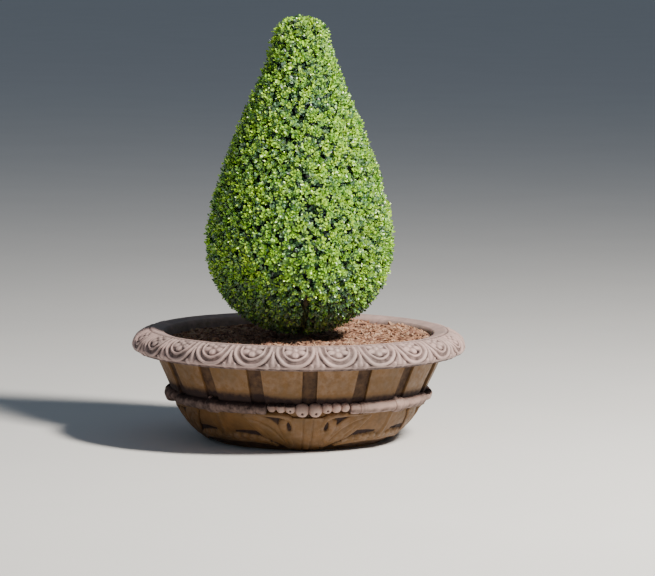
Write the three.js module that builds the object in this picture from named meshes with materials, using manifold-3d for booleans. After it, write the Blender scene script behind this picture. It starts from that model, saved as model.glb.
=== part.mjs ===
// A boxwood clipped to a teardrop, growing in a wide, low bowl of cast stone.
//
// Millimetres, +Z up. The origin is the middle of the bowl's flat underside, and the palmette at
// the front of the bowl looks along -Y. Turns round the bowl are counted from there towards +X.

import * as THREE from "three";
import { mergeVertices } from "three/addons/utils/BufferGeometryUtils.js";
import Module from "manifold-3d";

const wasm = await Module();
wasm.setup();
const { clamp, degToRad, lerp, mapLinear, smoothstep } = THREE.MathUtils;

// Driving dimensions

const FIT = 0.4; // what neighbouring pieces stay apart, measured along the radius
const BOWL_FACETS = 48; // sides of the bowl's rings
const QUARTER = Math.PI / 2;

const FOOT_RADIUS = 272;
const FOOT_HEIGHT = 8;
const BELLY = [[286, 8], [362, 52], [398, 150]]; // start, pull and end of the lower bowl's curve
const BELLY_STEPS = 4;
const WALL_FOOT = [403.5, 153]; // the slanted wall between the rail and the rim
const WALL_TOP = [460, 277];
const INSIDE_TOP = [409, 277];
const INSIDE = [[370, 150], [300, 60], [240, 30]]; // down the inside to the edge of the floor

const STRIPS = 16;
const STRIP_WIDTH = 47;
const STRIP_DEPTH = 8;
const STRIP_MARGIN = 7; // plain wall above and below a strip

const RIM_TURN = degToRad(1.6); // how far the rim's ornament is turned on the bowl
const ROLL = [[504, 277.4], [519, 281], [529, 288.5], [534, 298], [533.5, 308.5], [525, 328], [498, 346.5]];
const CREST = [[473, 353.5], [454, 350.5], [432, 345]];
const MOTIFS = 24; // rosettes round the roll, each in a double ring
const MOTIF_FACETS = 10;
const MOTIF_ARC = 510; // the radius at which the ornament's widths are measured
const MOTIF_TOP = -19; // edges of the ornament, measured down the roll from a rosette's middle
const MOTIF_FOOT = 77;
const ROW_GAP = 2; // least distance from one row of the ornament to the next
const SUNK_OUT = -6; // where a row lies, from the roll's own line: sunk, or on a ridge
// The ornament's rows from the top down. A row is half an ellipse hung from the rosette's middle, as
// wide and as tall as named, or is straight where it has no width
const ORNAMENT = [
  { tall: -16, out: SUNK_OUT },
  { tall: -7, out: -2 },
  { wide: 25, tall: 32, out: -1 }, // the rosette's edge
  { wide: 31, tall: 39, out: SUNK_OUT },
  { wide: 36, tall: 46, out: -1 }, // the inner ring
  { wide: 41, tall: 51, out: SUNK_OUT },
  { wide: 50, tall: 60, out: SUNK_OUT },
  { wide: 57, tall: 67, out: 0 }, // the outer ring
  { wide: 63, tall: 73, out: SUNK_OUT },
];
const ARM_OUT = -3; // where the rows of two motifs meet over the dart between them

const RAIL_RADIUS = 19;
const RAIL_RING = 405;
const RAIL_HEIGHT = 146;
const RAIL_SIDES = 8;
const RAIL_STEPS = 2;
const KNOT_RADIUS = 25;
const KNOT_HALF_ANGLE = degToRad(3);
const PALMETTE_HALF_ANGLE = degToRad(18.6);
const JOINT_ANGLE = FIT / RAIL_RING;

const LOBE_TURNS = [2.9, 8, 12.2, 16.2]; // degrees from the palmette's middle
const LOBE_WIDTHS = [23, 18.5, 17, 15.5]; // half widths
const LOBE_HEIGHTS = [29, 26, 23.5, 21];
const LOBE_REACH = 430;
const LOBE_DEPTH = 26;
const LOBE_MIDDLE = 142;
const LEAF_RELIEF = 11; // how far the carved leaf under the lobes stands proud of the bowl
const LEAF_FACETS = 24;
const LEAF_BAND = [210, 470]; // nearest and furthest the outline of a leaf is cut from the axis
const FLUTE = [[20, 122], [16, 84], [26, 44], [48, 20], [70, 12]];
const SIDE_LEAF = [[14, 122], [130, 120], [172, 88], [106, 70], [70, 50], [54, 84]];

const SOIL_LEVEL = 314;
const SOIL_SEAT = 316; // flat patch that the trunk stands on
const SEAT_RADIUS = 50;
const HEAPED_FROM = 110; // beyond this radius the mounds have their full height
const SOIL_RINGS = [360, 280, 200, 120, SEAT_RADIUS];
const MOUNDS = [
  { x: 330, y: 150, height: 25, spread: 110 },
  { x: 210, y: 335, height: 25, spread: 75 },
  { x: 395, y: 20, height: 14, spread: 80 },
  { x: 25, y: -120, height: 13, spread: 45 },
  { x: -95, y: -165, height: 9, spread: 35 },
  { x: -250, y: 150, height: 5, spread: 90 },
];

// The trunk's radius at shares of its height, from the flat foot to the fork
const TRUNK_TAPER = [[36, 0], [29, 0.08], [25, 0.25], [23, 0.5], [19, 1]];
const TRUNK_TOP = 402;
const TRUNK_LEAN = [7, -4]; // how far the top has moved from over the foot
const TRUNK_SIDES = 15;
const FLARES = 5;
const FLARE_SHARE = 0.16;

const BOUGHS = 5;
const BOUGH_ROOT = 11;
const BOUGH_TIP = 8;
const BOUGH_SIDES = 6;
const BOUGH_STEPS = 5;
const BOUGH_REACH = 125;
const BOUGH_START = 352; // heights inside the trunk, at the bend and inside the foliage
const BOUGH_BEND = 386;
const BOUGH_END = 462;
const BOUGH_STAGGER = 4;
const BOUGH_SCATTER = 0.15; // how far a bough is turned out of an even spread

// The teardrop's outline, radius and height, from underneath to the tip
const OUTLINE = [
  [0, 330], [115, 350], [215, 412], [279, 505], [305, 614], [290, 736], [257, 858],
  [194, 1024], [132, 1172], [110, 1240], [89, 1306], [55, 1342], [0, 1358],
];
const OUTLINE_STEPS = 240;
const CORE_INSET = 50; // how far the leafless core lies inside the outline at its waist
const CORE_INSET_LOW = 28; // and underneath
const CORE_INSET_TOP = 34; // and at the tip
const CORE_FACETS = 24;
const CORE_RINGS = 12;
const WAIST = [0.35, 0.7]; // the stretch of the outline where the core lies deepest
const CORE_TIP = 6; // rise of the core's blunt tip over its last ring
const HOLLOW = [[88, 362], [108, 415], [78, 470], [0, 476]]; // round the trunk and the boughs
const MOUTH = 302; // bottom of the open space under the hollow, where limbs pass
const STEM_RADIUS = 14;
const STEM_SIDES = 9;
const SUNK = 20; // how far a stem or shoot is sunk in the core

const SEED = 20260;
const BRANCHES = 40;
const TWIGS_PER_BRANCH = 2;
const TWIG_ROOT = 3.4;
const TWIG_TIP = 2.4;
const FORK_INSET = 58;
const TIP_INSET = 14;
const TWIG_SPREAD = degToRad(52);
const LEAF_PAIRS = [0.6, 0.8]; // places along a twig that carry a leaf on either side
const LEAF_LENGTH = 78;
const LEAF_WIDTH = 48;
const LEAF_THICKNESS = 5;
const LEAF_LEANS = [0, 0.09, 0.18, 0.27, 0.36]; // how far over a leaf may lean to stay in the outline
const LEAF_INSET = [3, 9]; // how far inside the outline a leaf's tip is aimed
const LEAF_STEEPEST = 0.5; // most that a leaf may point outwards, as a cosine
const END_LEAF = 0.94; // place of the end leaf along its twig
const PAIR_TURN = [1.3, 1.8]; // turn of a side leaf away from its twig
const GOLDEN_TURN = Math.PI * (3 - Math.sqrt(5));

// Materials

const finish = (color, roughness) =>
  new THREE.MeshStandardMaterial({ color, roughness, metalness: 0, flatShading: true });
const bronzeStone = () => finish(0x86704f, 0.6);
const mauveStone = () => finish(0x8d7b6f, 0.6);
const barkMulch = () => finish(0x9a6546, 0.95);
const bark = () => finish(0x6d5b45, 0.9);
const foliage = () => finish(0x5f8f2c, 0.5);

// From a geometry to a solid and back

/** The closed solid that a geometry bounds, its shared corners merged and its empty faces dropped. */
function solid(geometry) {
  const bare = new THREE.BufferGeometry();
  bare.setAttribute("position", geometry.getAttribute("position"));
  bare.setIndex(geometry.getIndex());
  const merged = mergeVertices(bare, 1e-3);
  const corners = merged.getIndex().array;
  const kept = [];
  for (let i = 0; i < corners.length; i += 3) {
    const [a, b, c] = corners.slice(i, i + 3);
    if (a !== b && b !== c && c !== a) kept.push(a, b, c);
  }
  return new wasm.Manifold(
    new wasm.Mesh({
      numProp: 3,
      vertProperties: merged.getAttribute("position").array,
      triVerts: new Uint32Array(kept),
    }),
  );
}

/** A solid's surface as a geometry. */
function surface(made) {
  const { vertProperties, triVerts } = made.getMesh();
  const geometry = new THREE.BufferGeometry();
  geometry.setAttribute("position", new THREE.BufferAttribute(vertProperties, 3));
  geometry.setIndex(new THREE.BufferAttribute(triVerts, 1));
  geometry.computeVertexNormals();
  return geometry;
}

/** A named mesh, turned round the bowl's axis. */
function piece(name, made, material, turn = 0) {
  const mesh = new THREE.Mesh(surface(made), material);
  mesh.name = name;
  mesh.rotation.z = turn;
  return mesh;
}

const joined = (solids) => solids.reduce((whole, next) => whole.add(next));

// Shapes that several pieces share

/** A geometry of revolution round Z. The profile of [radius, height] runs up the outside. */
function turnedGeometry(profile, facets) {
  const points = profile.map(([r, z]) => new THREE.Vector2(r, z));
  return new THREE.LatheGeometry(points, facets, -Math.PI / facets).rotateX(QUARTER);
}

const turned = (profile, facets = BOWL_FACETS) => solid(turnedGeometry(profile, facets));

/** The point at a radius, a turn from the front and a height. */
const around = (radius, turn, height) =>
  new THREE.Vector3(radius * Math.sin(turn), -radius * Math.cos(turn), height);

/** An arc round the bowl, at one height. */
class RingArc extends THREE.Curve {
  constructor(radius, height, from, to) {
    super();
    Object.assign(this, { radius, height, from, to });
  }

  getPoint(t, target = new THREE.Vector3()) {
    return target.copy(around(this.radius, lerp(this.from, this.to, t), this.height));
  }
}

/** A round limb along a curve: a cylinder whose rings are moved to the curve and set to its radius. */
function limb(curve, radiusAt, sides, steps) {
  const geometry = new THREE.CylinderGeometry(1, 1, 1, sides, steps);
  const place = geometry.getAttribute("position");
  const across = new THREE.Vector3();
  const over = new THREE.Vector3();
  const reference = new THREE.Vector3(0.21, 0.13, 1).normalize();
  for (let i = 0; i < place.count; i += 1) {
    const t = clamp(place.getY(i) + 0.5, 0, 1);
    const along = curve.getTangent(t);
    const radius = radiusAt(t);
    across.crossVectors(reference, along);
    if (across.lengthSq() < 0.02) across.crossVectors(new THREE.Vector3(1, 0, 0), along);
    across.normalize();
    over.crossVectors(across, along);
    const point = curve.getPoint(t);
    point.addScaledVector(across, radius * place.getX(i));
    point.addScaledVector(over, radius * place.getZ(i));
    place.setXYZ(i, point.x, point.y, point.z);
  }
  return solid(geometry);
}

const tapering = (root, tip) => (t) => lerp(root, tip, t);

/** An ellipsoid with few faces and a pole facing out, its half sizes round, out of and up the bowl. */
function boss([wide, deep, high], facets, rings, [radius, height], turn) {
  const ball = new THREE.SphereGeometry(1, facets, rings);
  ball.scale(wide, deep, high);
  ball.translate(0, -radius, height);
  ball.rotateZ(turn);
  return solid(ball);
}

// The bowl

/** The lower bowl's curve, widened by a margin. */
function belly(margin = 0) {
  const [start, pull, end] = BELLY.map(([r, z]) => new THREE.Vector2(r + margin, z));
  const curve = new THREE.QuadraticBezierCurve(start, pull, end);
  return curve.getPoints(BELLY_STEPS).map((p) => [p.x, p.y]);
}

/** Everything inside the bowl's outer face widened by a margin, as one full body. */
function bowlSpace(margin, facets = BOWL_FACETS) {
  const [footRadius, footHeight] = WALL_FOOT;
  const [topRadius, topHeight] = WALL_TOP;
  return turned([
    [0, 0],
    ...belly(margin),
    [footRadius + margin, footHeight],
    [topRadius + margin, topHeight],
    [0, topHeight],
  ], facets);
}

/** The cutter of one sunk strip in the slanted wall, at the front. */
function stripCutter() {
  const [footRadius, footHeight] = WALL_FOOT;
  const [topRadius, topHeight] = WALL_TOP;
  const slant = Math.atan2(topRadius - footRadius, topHeight - footHeight);
  const length = Math.hypot(topRadius - footRadius, topHeight - footHeight);
  const box = new THREE.BoxGeometry(STRIP_WIDTH, 2 * STRIP_DEPTH, length - 2 * STRIP_MARGIN);
  box.rotateX(slant);
  box.translate(0, -(footRadius + topRadius) / 2, (footHeight + topHeight) / 2);
  return box;
}

function potBowl() {
  const foot = [[0, 0], [FOOT_RADIUS, 0], [FOOT_RADIUS + 2, FOOT_HEIGHT]];
  const outside = [...foot, ...belly(), WALL_FOOT, WALL_TOP];
  const inside = [INSIDE_TOP, ...INSIDE, [0, INSIDE[INSIDE.length - 1][1]]];
  let bowl = turned([...outside, ...inside]);
  for (let i = 0; i < STRIPS; i += 1) {
    bowl = bowl.subtract(solid(stripCutter().rotateZ((i * 2 * Math.PI) / STRIPS)));
  }
  return bowl;
}

/** The roll's line from the crest outwards and down. */
const rollLine = new THREE.CatmullRomCurve3(
  [CREST[0], ...[...ROLL].reverse()].map(([r, z]) => new THREE.Vector3(r, 0, z)),
);
const rollLength = rollLine.getLength();
const beadPlace = Math.hypot(CREST[0][0] - ROLL.at(-1)[0], CREST[0][1] - ROLL.at(-1)[1]);

/** Radius and height of the rim some way down the roll from a rosette's middle, moved out or in. */
function rollSection(down, out) {
  const share = clamp((beadPlace + down) / rollLength, 0, 1);
  const at = rollLine.getPointAt(share);
  const along = rollLine.getTangentAt(share);
  return [at.x - along.z * out, at.z + along.x * out];
}

/** The rim's section at a distance across from the nearest rosette's middle, up its outer side. */
function rimSection(across) {
  const bottom = WALL_TOP[1] + FIT;
  let down = MOTIF_TOP;
  const carved = ORNAMENT.map(({ wide = Infinity, tall, out }) => {
    const reached = across < wide;
    down = Math.max(down + ROW_GAP, reached ? tall * Math.sqrt(1 - (across / wide) ** 2) : -Infinity);
    return rollSection(down, reached ? out : ARM_OUT);
  });
  const halfway = (Math.PI * MOTIF_ARC) / MOTIFS;
  const dartFoot = across > halfway - 1 ? 0 : SUNK_OUT;
  const foot = [rollSection(MOTIF_FOOT, 0), rollSection(MOTIF_FOOT - 2, dartFoot)];
  const plain = [[INSIDE_TOP[0], bottom], ROLL[0], ROLL[1]];
  return [...plain, ...foot, ...carved.reverse(), rollSection(MOTIF_TOP, 0), ...CREST, plain[0]];
}

/** The rim: a turned ring whose section changes across each motif. */
function potRim() {
  const ring = turnedGeometry(rimSection(0), MOTIFS * MOTIF_FACETS);
  const rows = rimSection(0).length;
  const place = ring.getAttribute("position");
  for (let i = 0; i < place.count; i += 1) {
    const motifs = Math.floor(i / rows) / MOTIF_FACETS; // how many motifs round the rim
    const across = (Math.abs((motifs % 1) - 0.5) * 2 * Math.PI * MOTIF_ARC) / MOTIFS;
    const [radius, height] = rimSection(across)[i % rows];
    const turn = RIM_TURN + (motifs * 2 * Math.PI) / MOTIFS;
    place.setXYZ(i, ...around(radius, turn, height).toArray());
  }
  return solid(ring);
}

/** One length of the rail round the bowl, its back cut to the wall that it lies on. */
function rail(from, to) {
  const curve = new RingArc(RAIL_RING, RAIL_HEIGHT, from, to);
  return limb(curve, () => RAIL_RADIUS, RAIL_SIDES, RAIL_STEPS).subtract(bowlSpace(FIT));
}

/** The fat collar where two rails meet. */
function knot(middle) {
  const curve = new RingArc(RAIL_RING, RAIL_HEIGHT, middle - KNOT_HALF_ANGLE, middle + KNOT_HALF_ANGLE);
  const swell = (t) => RAIL_RADIUS + (KNOT_RADIUS - RAIL_RADIUS) * Math.sin(Math.PI * t);
  return limb(curve, swell, RAIL_SIDES, 3).subtract(bowlSpace(FIT));
}

/** A flat outline seen from the front, cut right through the front wall of the bowl. */
function frontCutter(outline) {
  const shape = new THREE.Shape(outline.map(([x, z]) => new THREE.Vector2(x, z)));
  const [near, far] = LEAF_BAND;
  const cutter = new THREE.ExtrudeGeometry(shape, { depth: far - near, bevelEnabled: false });
  return solid(cutter.rotateX(QUARTER).translate(0, -near, 0));
}

const mirrored = (outline) => outline.map(([x, z]) => [-x, z]).reverse();

/** The lobes at the front of the rail, and the carved leaf that spreads under them. */
function palmette() {
  const lobes = LOBE_TURNS.flatMap((degrees, i) =>
    [-1, 1].map((side) => {
      const turn = side * degToRad(degrees);
      const half = [LOBE_WIDTHS[i], LOBE_DEPTH, LOBE_HEIGHTS[i]];
      return boss(half, i ? 6 : 8, i ? 3 : 4, [LOBE_REACH - LOBE_DEPTH, LOBE_MIDDLE], turn);
    }),
  );
  const leaves = joined([
    frontCutter([...FLUTE, ...mirrored(FLUTE)]),
    frontCutter(SIDE_LEAF),
    frontCutter(mirrored(SIDE_LEAF)),
  ]).intersect(bowlSpace(LEAF_RELIEF, LEAF_FACETS));
  return joined([...lobes, leaves]).subtract(bowlSpace(FIT));
}

// The soil

/** The height of the mulch over a place in the bowl. */
function soilHeight(x, y) {
  const mounded = MOUNDS.reduce((height, m) => {
    const away = Math.hypot(x - m.x, y - m.y) / m.spread;
    return height + m.height * Math.exp(-away * away);
  }, SOIL_LEVEL);
  const share = smoothstep(Math.hypot(x, y), SEAT_RADIUS, HEAPED_FROM);
  return lerp(SOIL_SEAT, mounded, share);
}

/** The radius of the soil's side at a height in the rim: it follows the straight inner face. */
function soilSide(height) {
  const [lowRadius, lowHeight] = INSIDE_TOP;
  const [highRadius, highHeight] = CREST[CREST.length - 1];
  return lowRadius + ((highRadius - lowRadius) * (height - lowHeight)) / (highHeight - lowHeight) - FIT;
}

/** Soil from the bowl's floor up, with its top surface heaped as the mulch is. */
function soil() {
  const floor = INSIDE[INSIDE.length - 1][1] + FIT;
  const side = [...INSIDE].reverse().map(([r, z]) => [r - FIT, Math.max(z, floor)]);
  const rings = [soilSide(SOIL_LEVEL), ...SOIL_RINGS, 0].map((r) => [r, SOIL_LEVEL]);
  const profile = [[0, floor], ...side, [INSIDE_TOP[0] - FIT, INSIDE_TOP[1]], ...rings];
  const geometry = turnedGeometry(profile, BOWL_FACETS);
  const place = geometry.getAttribute("position");
  for (let i = 0; i < place.count; i += 1) {
    if (place.getZ(i) < SOIL_LEVEL - 1) continue;
    const [x, y] = [place.getX(i), place.getY(i)];
    const height = soilHeight(x, y);
    const radius = Math.hypot(x, y);
    const widened = radius > SOIL_RINGS[0] + 1 ? soilSide(height) / radius : 1;
    place.setXYZ(i, x * widened, y * widened, height);
  }
  return solid(geometry);
}

// The trunk and the boughs

/** The trunk widened by a margin: flared into root buttresses at a flat foot, leaning a little. */
function trunkBody(margin) {
  const foot = SOIL_SEAT + FIT;
  const rise = TRUNK_TOP - foot;
  const side = TRUNK_TAPER.map(([r, share]) => [r + margin, foot + share * rise]);
  const geometry = turnedGeometry([[0, foot], ...side, [0, TRUNK_TOP]], TRUNK_SIDES);
  const place = geometry.getAttribute("position");
  for (let i = 0; i < place.count; i += 1) {
    const share = (place.getZ(i) - foot) / rise;
    const turn = Math.atan2(place.getY(i), place.getX(i));
    const flare = 1 + FLARE_SHARE * Math.cos(FLARES * turn) * (1 - share) ** 3;
    const x = place.getX(i) * flare + TRUNK_LEAN[0] * share * share;
    const y = place.getY(i) * flare + TRUNK_LEAN[1] * share * share;
    place.setXY(i, x, y);
  }
  return solid(geometry);
}

/** One bough widened by a margin, from inside the trunk out into the foliage. */
function boughBody(index, margin) {
  const turn = (index * 2 * Math.PI) / BOUGHS + BOUGH_SCATTER * Math.sin(3 * index);
  const curve = new THREE.QuadraticBezierCurve3(
    new THREE.Vector3(0, 0, BOUGH_START + BOUGH_STAGGER * (index % 3)),
    around(BOUGH_REACH / 2, turn, BOUGH_BEND),
    around(BOUGH_REACH, turn, BOUGH_END),
  );
  return limb(curve, tapering(BOUGH_ROOT + margin, BOUGH_TIP + margin), BOUGH_SIDES, BOUGH_STEPS);
}

/** The open space under the foliage round the trunk, narrowed by a margin. */
function hollowSpace(margin) {
  const [mouth] = HOLLOW[0];
  const wall = HOLLOW.map(([r, z]) => [Math.max(r - margin, 0), r < mouth ? z - margin : z]);
  return turned([[0, MOUTH], [mouth - margin, MOUTH], ...wall], CORE_FACETS);
}

// A bough ends a little clear of the trunk at its root and of the foliage's core at its tip.
const bough = (index) => boughBody(index, 0).subtract(trunkBody(FIT)).intersect(hollowSpace(FIT));

// The clipped crown

/** Numbers between 0 and 1 that are the same on each run. */
function seeded(seed) {
  let state = seed;
  return () => {
    state = (state + 0x6d2b79f5) | 0;
    let mixed = Math.imul(state ^ (state >>> 15), 1 | state);
    mixed = (mixed + Math.imul(mixed ^ (mixed >>> 7), 61 | mixed)) ^ mixed;
    return ((mixed ^ (mixed >>> 14)) >>> 0) / 4294967296;
  };
}

const outline = new THREE.SplineCurve(OUTLINE.map(([r, z]) => new THREE.Vector2(r, z)));
const outlinePoints = outline.getPoints(OUTLINE_STEPS);

/** The teardrop's radius at a height. */
function outlineRadius(height) {
  const next = outlinePoints.findIndex((p) => p.y > height);
  if (next < 1) return 0;
  const [low, high] = [outlinePoints[next - 1], outlinePoints[next]];
  return mapLinear(height, low.y, high.y, low.x, high.x);
}

const inOutline = (p) => Math.hypot(p.x, p.y) <= outlineRadius(p.z);

/** The outline's point and outward normal where a share of the teardrop's area lies below. */
const areaBelow = outlinePoints.reduce((sums, p, i) => {
  const last = outlinePoints[Math.max(i - 1, 0)];
  return [...sums, (sums[i - 1] ?? 0) + ((p.x + last.x) / 2) * p.distanceTo(last)];
}, []);

function outlineAt(share) {
  const wanted = share * areaBelow[areaBelow.length - 1];
  const t = areaBelow.findIndex((sum) => sum >= wanted) / OUTLINE_STEPS;
  const along = outline.getTangent(t);
  return { point: outline.getPoint(t), normal: new THREE.Vector2(along.y, -along.x) };
}

/** The core that the twigs stand out of, hollow underneath round the trunk and boughs. */
function core() {
  const start = outlinePoints.findIndex((p) => p.x > HOLLOW[0][0] + CORE_INSET_LOW) / OUTLINE_STEPS;
  const shell = [];
  for (let i = 0; i < CORE_RINGS; i += 1) {
    const t = lerp(start, 1, i / (CORE_RINGS - 0.6));
    const waist = lerp(CORE_INSET_LOW, CORE_INSET, smoothstep(t, start, WAIST[0]));
    const inset = lerp(waist, CORE_INSET_TOP, smoothstep(t, WAIST[1], 1));
    const along = outline.getTangent(t);
    const point = outline.getPoint(t);
    shell.push([point.x - along.y * inset, point.y + along.x * inset]);
  }
  const [, top] = shell[shell.length - 1];
  return turned([...[...HOLLOW].reverse(), ...shell, [0, top + CORE_TIP]], CORE_FACETS);
}

/** The stem at the heart of the crown, which goes on from the trunk's top. */
function stem() {
  const foot = new THREE.Vector3(...TRUNK_LEAN, TRUNK_TOP + FIT);
  const head = new THREE.Vector3(...TRUNK_LEAN, HOLLOW[HOLLOW.length - 1][1] + SUNK);
  return limb(new THREE.LineCurve3(foot, head), () => STEM_RADIUS, STEM_SIDES, 1);
}

/** A three-sided twig between two points. */
const twig = (from, to) => limb(new THREE.LineCurve3(from, to), tapering(TWIG_ROOT, TWIG_TIP), 3, 1);

/** A leaf of eight faces from its root along a direction, its broad side facing as near out as it can. */
function leaf(root, along, facing) {
  const across = new THREE.Vector3().crossVectors(facing, along).normalize();
  const face = new THREE.Vector3().crossVectors(along, across);
  const place = new THREE.Matrix4().makeBasis(
    along.clone().multiplyScalar(LEAF_LENGTH / 2),
    across.multiplyScalar(LEAF_WIDTH / 2),
    face.multiplyScalar(LEAF_THICKNESS / 2),
  );
  place.setPosition(root.clone().addScaledVector(along, LEAF_LENGTH / 2));
  return solid(new THREE.OctahedronGeometry(1).applyMatrix4(place));
}

/** A direction tipped away from an axis by an angle, at a turn round it. */
function tipped(axis, angle, turn) {
  const aside = new THREE.Vector3(0, 0, 1).cross(axis);
  if (aside.lengthSq() < 1e-4) aside.set(1, 0, 0);
  aside.normalize().applyAxisAngle(axis, turn);
  return axis.clone().multiplyScalar(Math.cos(angle)).addScaledVector(aside, Math.sin(angle));
}

/**
 * The twigs and leaves that stand out of the core. Branches lie evenly over the teardrop by the
 * golden angle. Each rises from the stem to a fork inside the core, and its twigs part there, out
 * to the clipped surface. Each twig has a leaf at its tip and pairs of leaves below it. A leaf
 * leans over until it is inside the outline. One that still leaves it, or that would touch the
 * trunk, a bough or another leaf, is skipped.
 */
function leafyTwigs(limbs) {
  const random = seeded(SEED);
  const shoots = [];
  const leaves = [];
  const apart = (made, tip) => (other) =>
    other.tip.distanceTo(tip) > 2 * LEAF_LENGTH || made.intersect(other.made).isEmpty();
  const free = (made, tip) => made.intersect(limbs).volume() === 0 && leaves.every(apart(made, tip));
  const leafing = (root, out, lift, spin) => {
    const along = LEAF_LEANS.map((lean) => tipped(out, lift + lean, spin)).find((direction) =>
      inOutline(root.clone().addScaledVector(direction, LEAF_LENGTH)),
    );
    if (!along) return;
    const made = leaf(root, along, out);
    const tip = root.clone().addScaledVector(along, LEAF_LENGTH);
    if (free(made, tip)) leaves.push({ made, tip });
  };
  for (let i = 0; i < BRANCHES; i += 1) {
    const { point, normal } = outlineAt((i + 0.6) / (BRANCHES + 0.4));
    const turn = i * GOLDEN_TURN + 0.3 * random();
    const out = around(normal.x, turn, normal.y);
    const skin = around(point.x, turn, point.y);
    const fork = skin.clone().addScaledVector(out, -FORK_INSET);
    for (let k = 0; k < TWIGS_PER_BRANCH; k += 1) {
      const spin = ((k + 0.3 * random()) * 2 * Math.PI) / TWIGS_PER_BRANCH + turn;
      const along = tipped(out, TWIG_SPREAD, spin);
      const tip = fork.clone().addScaledVector(along, (FORK_INSET - TIP_INSET) / Math.cos(TWIG_SPREAD));
      const shoot = twig(fork, tip);
      if (!inOutline(tip) || shoot.intersect(limbs).volume() > 0) continue;
      shoots.push(shoot);
      const leafAt = (share, aside) => {
        const room = lerp(FORK_INSET, TIP_INSET, share) - lerp(...LEAF_INSET, random());
        const lift = Math.acos(Math.min(room / LEAF_LENGTH, LEAF_STEEPEST));
        leafing(fork.clone().lerp(tip, share), out, lift, spin + aside);
      };
      leafAt(END_LEAF, (random() - 0.5) / 2);
      for (const share of LEAF_PAIRS) {
        for (const side of [-1, 1]) leafAt(share, side * lerp(...PAIR_TURN, random()));
      }
    }
  }
  return [...shoots, ...leaves.map(({ made }) => made)];
}

/** The shoot at the very top, whose leaf reaches the tip of the teardrop. */
function topShoot() {
  const [, top] = OUTLINE[OUTLINE.length - 1];
  const root = new THREE.Vector3(0, 0, top - LEAF_LENGTH);
  const foot = root.clone().setZ(root.z - SUNK - CORE_INSET_TOP);
  const end = root.clone().setZ(root.z + TIP_INSET);
  const front = new THREE.Vector3(0, -1, 0);
  return [twig(foot, end), leaf(root, new THREE.Vector3(0, 0, 1), front)];
}

function crown() {
  const limbs = joined([trunkBody(3), ...Array.from({ length: BOUGHS }, (_, i) => boughBody(i, 3))]);
  return joined([core(), stem(), ...topShoot(), ...leafyTwigs(limbs)]);
}

// The whole plant

const plant = new THREE.Group();
plant.add(piece("pot_bowl", potBowl(), bronzeStone()));
plant.add(piece("pot_rim", potRim(), mauveStone()));

const diagonal = QUARTER / 2;
const railSpans = [
  [PALMETTE_HALF_ANGLE + JOINT_ANGLE, diagonal - KNOT_HALF_ANGLE - JOINT_ANGLE],
  [diagonal + KNOT_HALF_ANGLE + JOINT_ANGLE, QUARTER - PALMETTE_HALF_ANGLE - JOINT_ANGLE],
];
for (let quarter = 0; quarter < 4; quarter += 1) {
  const turn = quarter * QUARTER;
  plant.add(piece(`palmette_${quarter + 1}`, palmette(), mauveStone(), turn));
  plant.add(piece(`knot_${quarter + 1}`, knot(diagonal), mauveStone(), turn));
  railSpans.forEach(([from, to], side) => {
    plant.add(piece(`rail_${2 * quarter + side + 1}`, rail(from, to), mauveStone(), turn));
  });
}

plant.add(piece("soil", soil(), barkMulch()));
plant.add(piece("trunk", trunkBody(0), bark()));
for (let i = 0; i < BOUGHS; i += 1) plant.add(piece(`bough_${i + 1}`, bough(i), bark()));
plant.add(piece("crown", crown(), foliage()));

export default plant;
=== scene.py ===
"""Dresses a boxwood clipped to a teardrop, growing in a low ornamented bowl of cast stone.

The file is laid out as an add-on. Each operator makes one piece or a group of like pieces, the
property groups hold the sizes and colours a user would change, and a panel lists the operators.
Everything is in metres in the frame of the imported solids: +Z up, the origin in the middle of the
bowl's underside, the front palmette on -Y. Turns are counted from the front towards +X.
"""

import math
from dataclasses import dataclass

import bpy
import numpy as np
from bpy.props import FloatProperty, FloatVectorProperty, IntProperty, PointerProperty
from bpy.types import Operator, Panel, PropertyGroup
from mathutils import Euler, Matrix, Vector


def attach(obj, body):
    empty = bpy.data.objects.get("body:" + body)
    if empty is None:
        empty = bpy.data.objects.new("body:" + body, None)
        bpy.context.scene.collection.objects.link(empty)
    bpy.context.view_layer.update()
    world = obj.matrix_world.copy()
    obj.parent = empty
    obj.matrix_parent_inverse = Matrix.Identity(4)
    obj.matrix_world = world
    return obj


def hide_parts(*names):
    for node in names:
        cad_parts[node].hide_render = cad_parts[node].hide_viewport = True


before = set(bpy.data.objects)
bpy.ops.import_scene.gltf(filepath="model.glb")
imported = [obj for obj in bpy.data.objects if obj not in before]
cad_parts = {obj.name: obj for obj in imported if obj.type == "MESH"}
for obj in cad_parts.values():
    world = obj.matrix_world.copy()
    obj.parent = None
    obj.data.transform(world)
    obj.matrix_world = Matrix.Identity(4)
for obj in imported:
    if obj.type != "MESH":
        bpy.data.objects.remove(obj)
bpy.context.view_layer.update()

bl_info = {
    "name": "Teardrop Boxwood in a Bowl",
    "version": (1, 0, 0),
    "blender": (4, 5, 0),
    "location": "3D View > Sidebar > Topiary",
    "description": "Makes a boxwood clipped to a teardrop in an ornamented bowl of cast stone",
    "category": "Add Mesh",
}

MM = 0.001
FULL_TURN = 2 * math.pi
QUARTER = math.pi / 2
GOLDEN_TURN = math.pi * (3 - math.sqrt(5))

# The bowl: its section as (radius, height) points, in millimetres

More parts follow.
